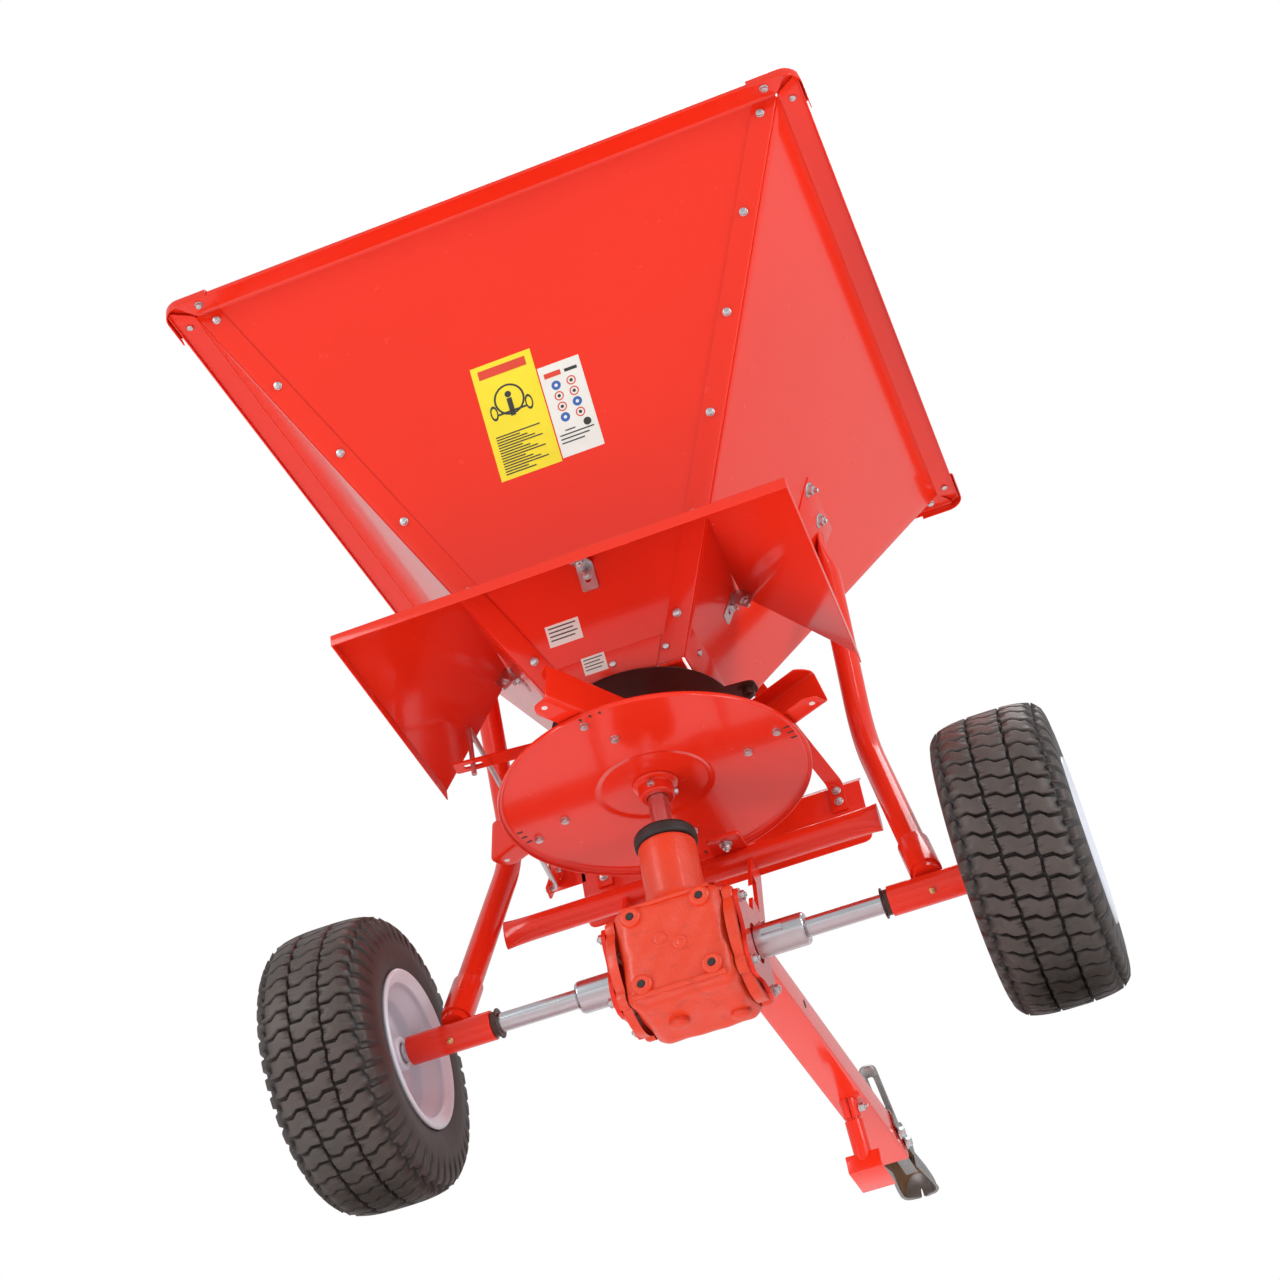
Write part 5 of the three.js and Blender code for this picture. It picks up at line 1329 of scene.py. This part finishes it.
def stage():
    """A pale floor that only shows from above, a white surround, large soft lamps, and the camera."""
    scene = bpy.context.scene
    scene.view_settings.view_transform = "Standard"
    world = bpy.data.worlds.new("surround")
    scene.world = world
    world.use_nodes = True
    tree = world.node_tree
    back = tree.nodes["Background"]
    path = tree.nodes.new("ShaderNodeLightPath")
    shown = tree.nodes.new("ShaderNodeBackground")
    shown.inputs["Color"].default_value = (1, 1, 1, 1)
    back.inputs["Color"].default_value = (0.96, 0.98, 1.0, 1)
    back.inputs["Strength"].default_value = 0.6
    choose = tree.nodes.new("ShaderNodeMixShader")
    tree.links.new(path.outputs["Is Camera Ray"], choose.inputs["Fac"])
    tree.links.new(back.outputs[0], choose.inputs[1])
    tree.links.new(shown.outputs[0], choose.inputs[2])
    tree.links.new(choose.outputs[0], tree.nodes["World Output"].inputs["Surface"])

    floor = bpy.data.meshes.new("floor")
    floor.from_pydata([(-120, -70, 0), (120, -70, 0), (0, 140, 0)], [], [(0, 1, 2)])
    ground = bpy.data.objects.new("floor", floor)
    ground.location = (0, 0, -0.002)
    scene.collection.objects.link(ground)
    material = bpy.data.materials.new("floor")
    material.use_nodes = True
    tree = material.node_tree
    diffuse = tree.nodes["Principled BSDF"]
    diffuse.inputs["Base Color"].default_value = (0.9, 0.9, 0.9, 1)
    diffuse.inputs["Roughness"].default_value = 0.9
    clear = tree.nodes.new("ShaderNodeBsdfTransparent")
    path = tree.nodes.new("ShaderNodeLightPath")
    side = tree.nodes.new("ShaderNodeNewGeometry")
    either = tree.nodes.new("ShaderNodeMath")
    either.operation = "MAXIMUM"
    tree.links.new(path.outputs["Is Shadow Ray"], either.inputs[0])
    tree.links.new(side.outputs["Backfacing"], either.inputs[1])
    choose = tree.nodes.new("ShaderNodeMixShader")
    tree.links.new(either.outputs[0], choose.inputs["Fac"])
    far = tree.nodes.new("ShaderNodeVectorMath")
    far.operation = "LENGTH"
    tree.links.new(side.outputs["Position"], far.inputs[0])
    fade = tree.nodes.new("ShaderNodeMapRange")
    fade.interpolation_type = "SMOOTHSTEP"
    fade.inputs["From Min"].default_value = 1.6
    fade.inputs["From Max"].default_value = 4.2
    tree.links.new(far.outputs["Value"], fade.inputs["Value"])
    away = tree.nodes.new("ShaderNodeMath")
    away.operation = "MULTIPLY"
    tree.links.new(fade.outputs["Result"], away.inputs[0])
    tree.links.new(path.outputs["Is Camera Ray"], away.inputs[1])
    plain = tree.nodes.new("ShaderNodeEmission")
    blend = tree.nodes.new("ShaderNodeMixShader")
    tree.links.new(away.outputs[0], blend.inputs["Fac"])
    tree.links.new(diffuse.outputs[0], blend.inputs[1])
    tree.links.new(plain.outputs[0], blend.inputs[2])
    tree.links.new(blend.outputs[0], choose.inputs[1])
    tree.links.new(clear.outputs[0], choose.inputs[2])
    tree.links.new(choose.outputs[0], tree.nodes["Material Output"].inputs["Surface"])
    floor.materials.append(material)

    target = (0, FORWARD * 0.001 + 0.1, 0.65)
    light("key", (-3.2, -4.4, 2.3), target, (1.8, 2.2), 62)
    light("fill", (4.2, -2.0, 1.3), target, (1.6, 2.2), 56)
    light("under", (-1.2, -1.6, -2.8), target, (2.2, 2.2), 58)
    light("top", (0.5, 0.8, 4.6), target, (3.0, 3.0), 96)
    light("strip_left", (-2.4, -2.6, -1.7), target, (0.14, 2.6), 16)
    light("strip_right", (2.9, -2.9, 1.8), target, (0.14, 2.6), 16)

    data = bpy.data.cameras.new("camera")
    data.lens = 64.02
    data.sensor_width = 36
    data.clip_end = 60
    camera = bpy.data.objects.new("camera", data)
    scene.collection.objects.link(camera)
    azimuth, pitch, roll = radians(13.02), radians(36.79), radians(10.92)
    ahead = Vector((-sin(azimuth) * cos(pitch), cos(azimuth) * cos(pitch), sin(pitch)))
    right = ahead.cross(Vector((0, 0, 1))).normalized()
    up = right.cross(ahead)
    across = right * cos(roll) - up * sin(roll)
    above = right * sin(roll) + up * cos(roll)
    camera.location = (0.6404, -2.6885 + FORWARD * 0.001, -1.3035)
    camera.rotation_euler = Matrix((across, above, -ahead)).transposed().to_euler()
    scene.camera = camera


def dress_frame():
    """Gives the CAD pieces that stay visible the same finishes as the rest."""
    finishes = {
        "red": ("outlet_floor", "gearbox_web_left", "gearbox_web_right", "dosing_lever"),
        "zinc": ("agitator",),
        "pewter": ("coupler_latch", "coupler_pin_lugs"),
        "steel": ("bevel_wheel", "bevel_pinion", "axle_bearing_left", "axle_bearing_right", "neck_bearing"),
        "dark": ("shutter_plate", "hub_bush_left", "hub_bush_right"),
    }
    for finish, nodes in finishes.items():
        for node in nodes:
            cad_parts[node].data.materials.clear()
            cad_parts[node].data.materials.append(MATERIALS[finish])


# ---------------------------------------------------------------- operators
class SPREADER_OT_materials(bpy.types.Operator):
    """Make the finishes"""

    bl_idname = "spreader.materials"
    bl_label = "Materials"

    def execute(self, context):
        make_materials()
        dress_frame()
        return {"FINISHED"}


class SPREADER_OT_hopper(bpy.types.Operator):
    """Build the four hopper panels, their corner caps, strips and bolts"""

    bl_idname = "spreader.hopper"
    bl_label = "Hopper"

    def execute(self, context):
        end_panel("panel_rear", "hopper_panel_rear", lambda s, z, o: -back_y(s, z, o), -1)
        end_panel("panel_front", "hopper_panel_front", front_y, 1)
        for word, sx in (("left", -1), ("right", 1)):
            side_panel("panel_" + word, "hopper_panel_" + word, sx)
            for end, sy in (("rear", -1), ("front", 1)):
                corner_cap(f"cap_{end}_{word}", f"corner_cap_{end}_{word}", sx, sy)
        lower_strip()
        hopper_bolts()
        return {"FINISHED"}


class SPREADER_OT_labels(bpy.types.Operator):
    """Lay the labels on the rear panel"""

    bl_idname = "spreader.labels"
    bl_label = "Labels"

    def execute(self, context):
        labels()
        return {"FINISHED"}


class SPREADER_OT_shield(bpy.types.Operator):
    """Build the shield, its brackets and the guard plate"""

    bl_idname = "spreader.shield"
    bl_label = "Shield and guard"

    def execute(self, context):
        spread_shield()
        brackets()
        guard()
        return {"FINISHED"}


class SPREADER_OT_frame(bpy.types.Operator):
    """Build the side tubes and the cross tube"""

    bl_idname = "spreader.frame"
    bl_label = "Frame tubes"

    def execute(self, context):
        side_tube("side_tube_left_bent", "side_tube_left", -1)
        side_tube("side_tube_right_bent", "side_tube_right", 1)
        cross_tube()
        return {"FINISHED"}


class SPREADER_OT_drawbar(bpy.types.Operator):
    """Build the drawbar, the stand and the coupler"""

    bl_idname = "spreader.drawbar"
    bl_label = "Drawbar, stand and coupler"

    def execute(self, context):
        drawbar()
        stand()
        coupler()
        coupler_handle()
        return {"FINISHED"}


class SPREADER_OT_gearbox(bpy.types.Operator):
    """Build the gearbox casting and its covers"""

    bl_idname = "spreader.gearbox"
    bl_label = "Gearbox"

    def execute(self, context):
        gearbox_case()
        gearbox_cover("cover_left", "gearbox_cover_left", -1)
        gearbox_cover("cover_right", "gearbox_cover_right", 1)
        return {"FINISHED"}


class SPREADER_OT_axle(bpy.types.Operator):
    """Build the axle, its sleeves, hub tubes and end rings"""

    bl_idname = "spreader.axle"
    bl_label = "Axle line"

    def execute(self, context):
        axle_line()
        return {"FINISHED"}


class SPREADER_OT_rotor(bpy.types.Operator):
    """Build the spreading disc with its vanes, shaft and seal"""

    bl_idname = "spreader.rotor"
    bl_label = "Rotor"

    def execute(self, context):
        disc()
        for number in range(1, 5):
            vane(number, f"vane_{number}_channel", f"vane_{number}")
        return {"FINISHED"}


class SPREADER_OT_dosing(bpy.types.Operator):
    """Build the metering plate and the control rod"""

    bl_idname = "spreader.dosing"
    bl_label = "Dosing"

    def execute(self, context):
        dosing()
        return {"FINISHED"}


class SPREADER_OT_wheels(bpy.types.Operator):
    """Build the tyres with their tread, and the rims"""

    bl_idname = "spreader.wheels"
    bl_label = "Wheels"

    def execute(self, context):
        for word, side, body in (("left", -1, "left_wheel"), ("right", 1, "drive_axle")):
            tyre("tyre_" + word + "_tread", "tyre_" + word, body, side)
            rim("rim_" + word + "_pressed", "rim_" + word, body, side)
        return {"FINISHED"}


class SPREADER_OT_stage(bpy.types.Operator):
    """Set up the floor, the lamps and the camera"""

    bl_idname = "spreader.stage"
    bl_label = "Stage"

    def execute(self, context):
        stage()
        return {"FINISHED"}


class SPREADER_PT_panel(bpy.types.Panel):
    """Buttons for the pieces and their settings"""

    bl_idname = "SPREADER_PT_panel"
    bl_label = "Garden spreader"
    bl_space_type = "VIEW_3D"
    bl_region_type = "UI"
    bl_category = "Spreader"

    def draw(self, context):
        for operator in OPERATORS:
            self.layout.operator(operator.bl_idname)
        for group in (context.scene.spreader_sizes, context.scene.spreader_colours):
            for name in group.__annotations__:
                self.layout.prop(group, name)


OPERATORS = (
    SPREADER_OT_materials, SPREADER_OT_hopper, SPREADER_OT_labels, SPREADER_OT_shield, SPREADER_OT_frame,
    SPREADER_OT_drawbar,
    SPREADER_OT_gearbox, SPREADER_OT_axle, SPREADER_OT_rotor, SPREADER_OT_dosing, SPREADER_OT_wheels,
    SPREADER_OT_stage,
)


def register():
    for item in (SpreaderSizes, SpreaderColours, *OPERATORS, SPREADER_PT_panel):
        bpy.utils.register_class(item)
    bpy.types.Scene.spreader_sizes = PointerProperty(type=SpreaderSizes)
    bpy.types.Scene.spreader_colours = PointerProperty(type=SpreaderColours)


def unregister():
    del bpy.types.Scene.spreader_sizes
    del bpy.types.Scene.spreader_colours
    for item in (SPREADER_PT_panel, *reversed(OPERATORS), SpreaderColours, SpreaderSizes):
        bpy.utils.unregister_class(item)


def main():
    register()
    for operator in OPERATORS:
        space, _, action = operator.bl_idname.partition(".")
        if getattr(getattr(bpy.ops, space), action)() != {"FINISHED"}:
            raise RuntimeError(operator.bl_idname + " did not finish")


if __name__ == "__main__":
    main()
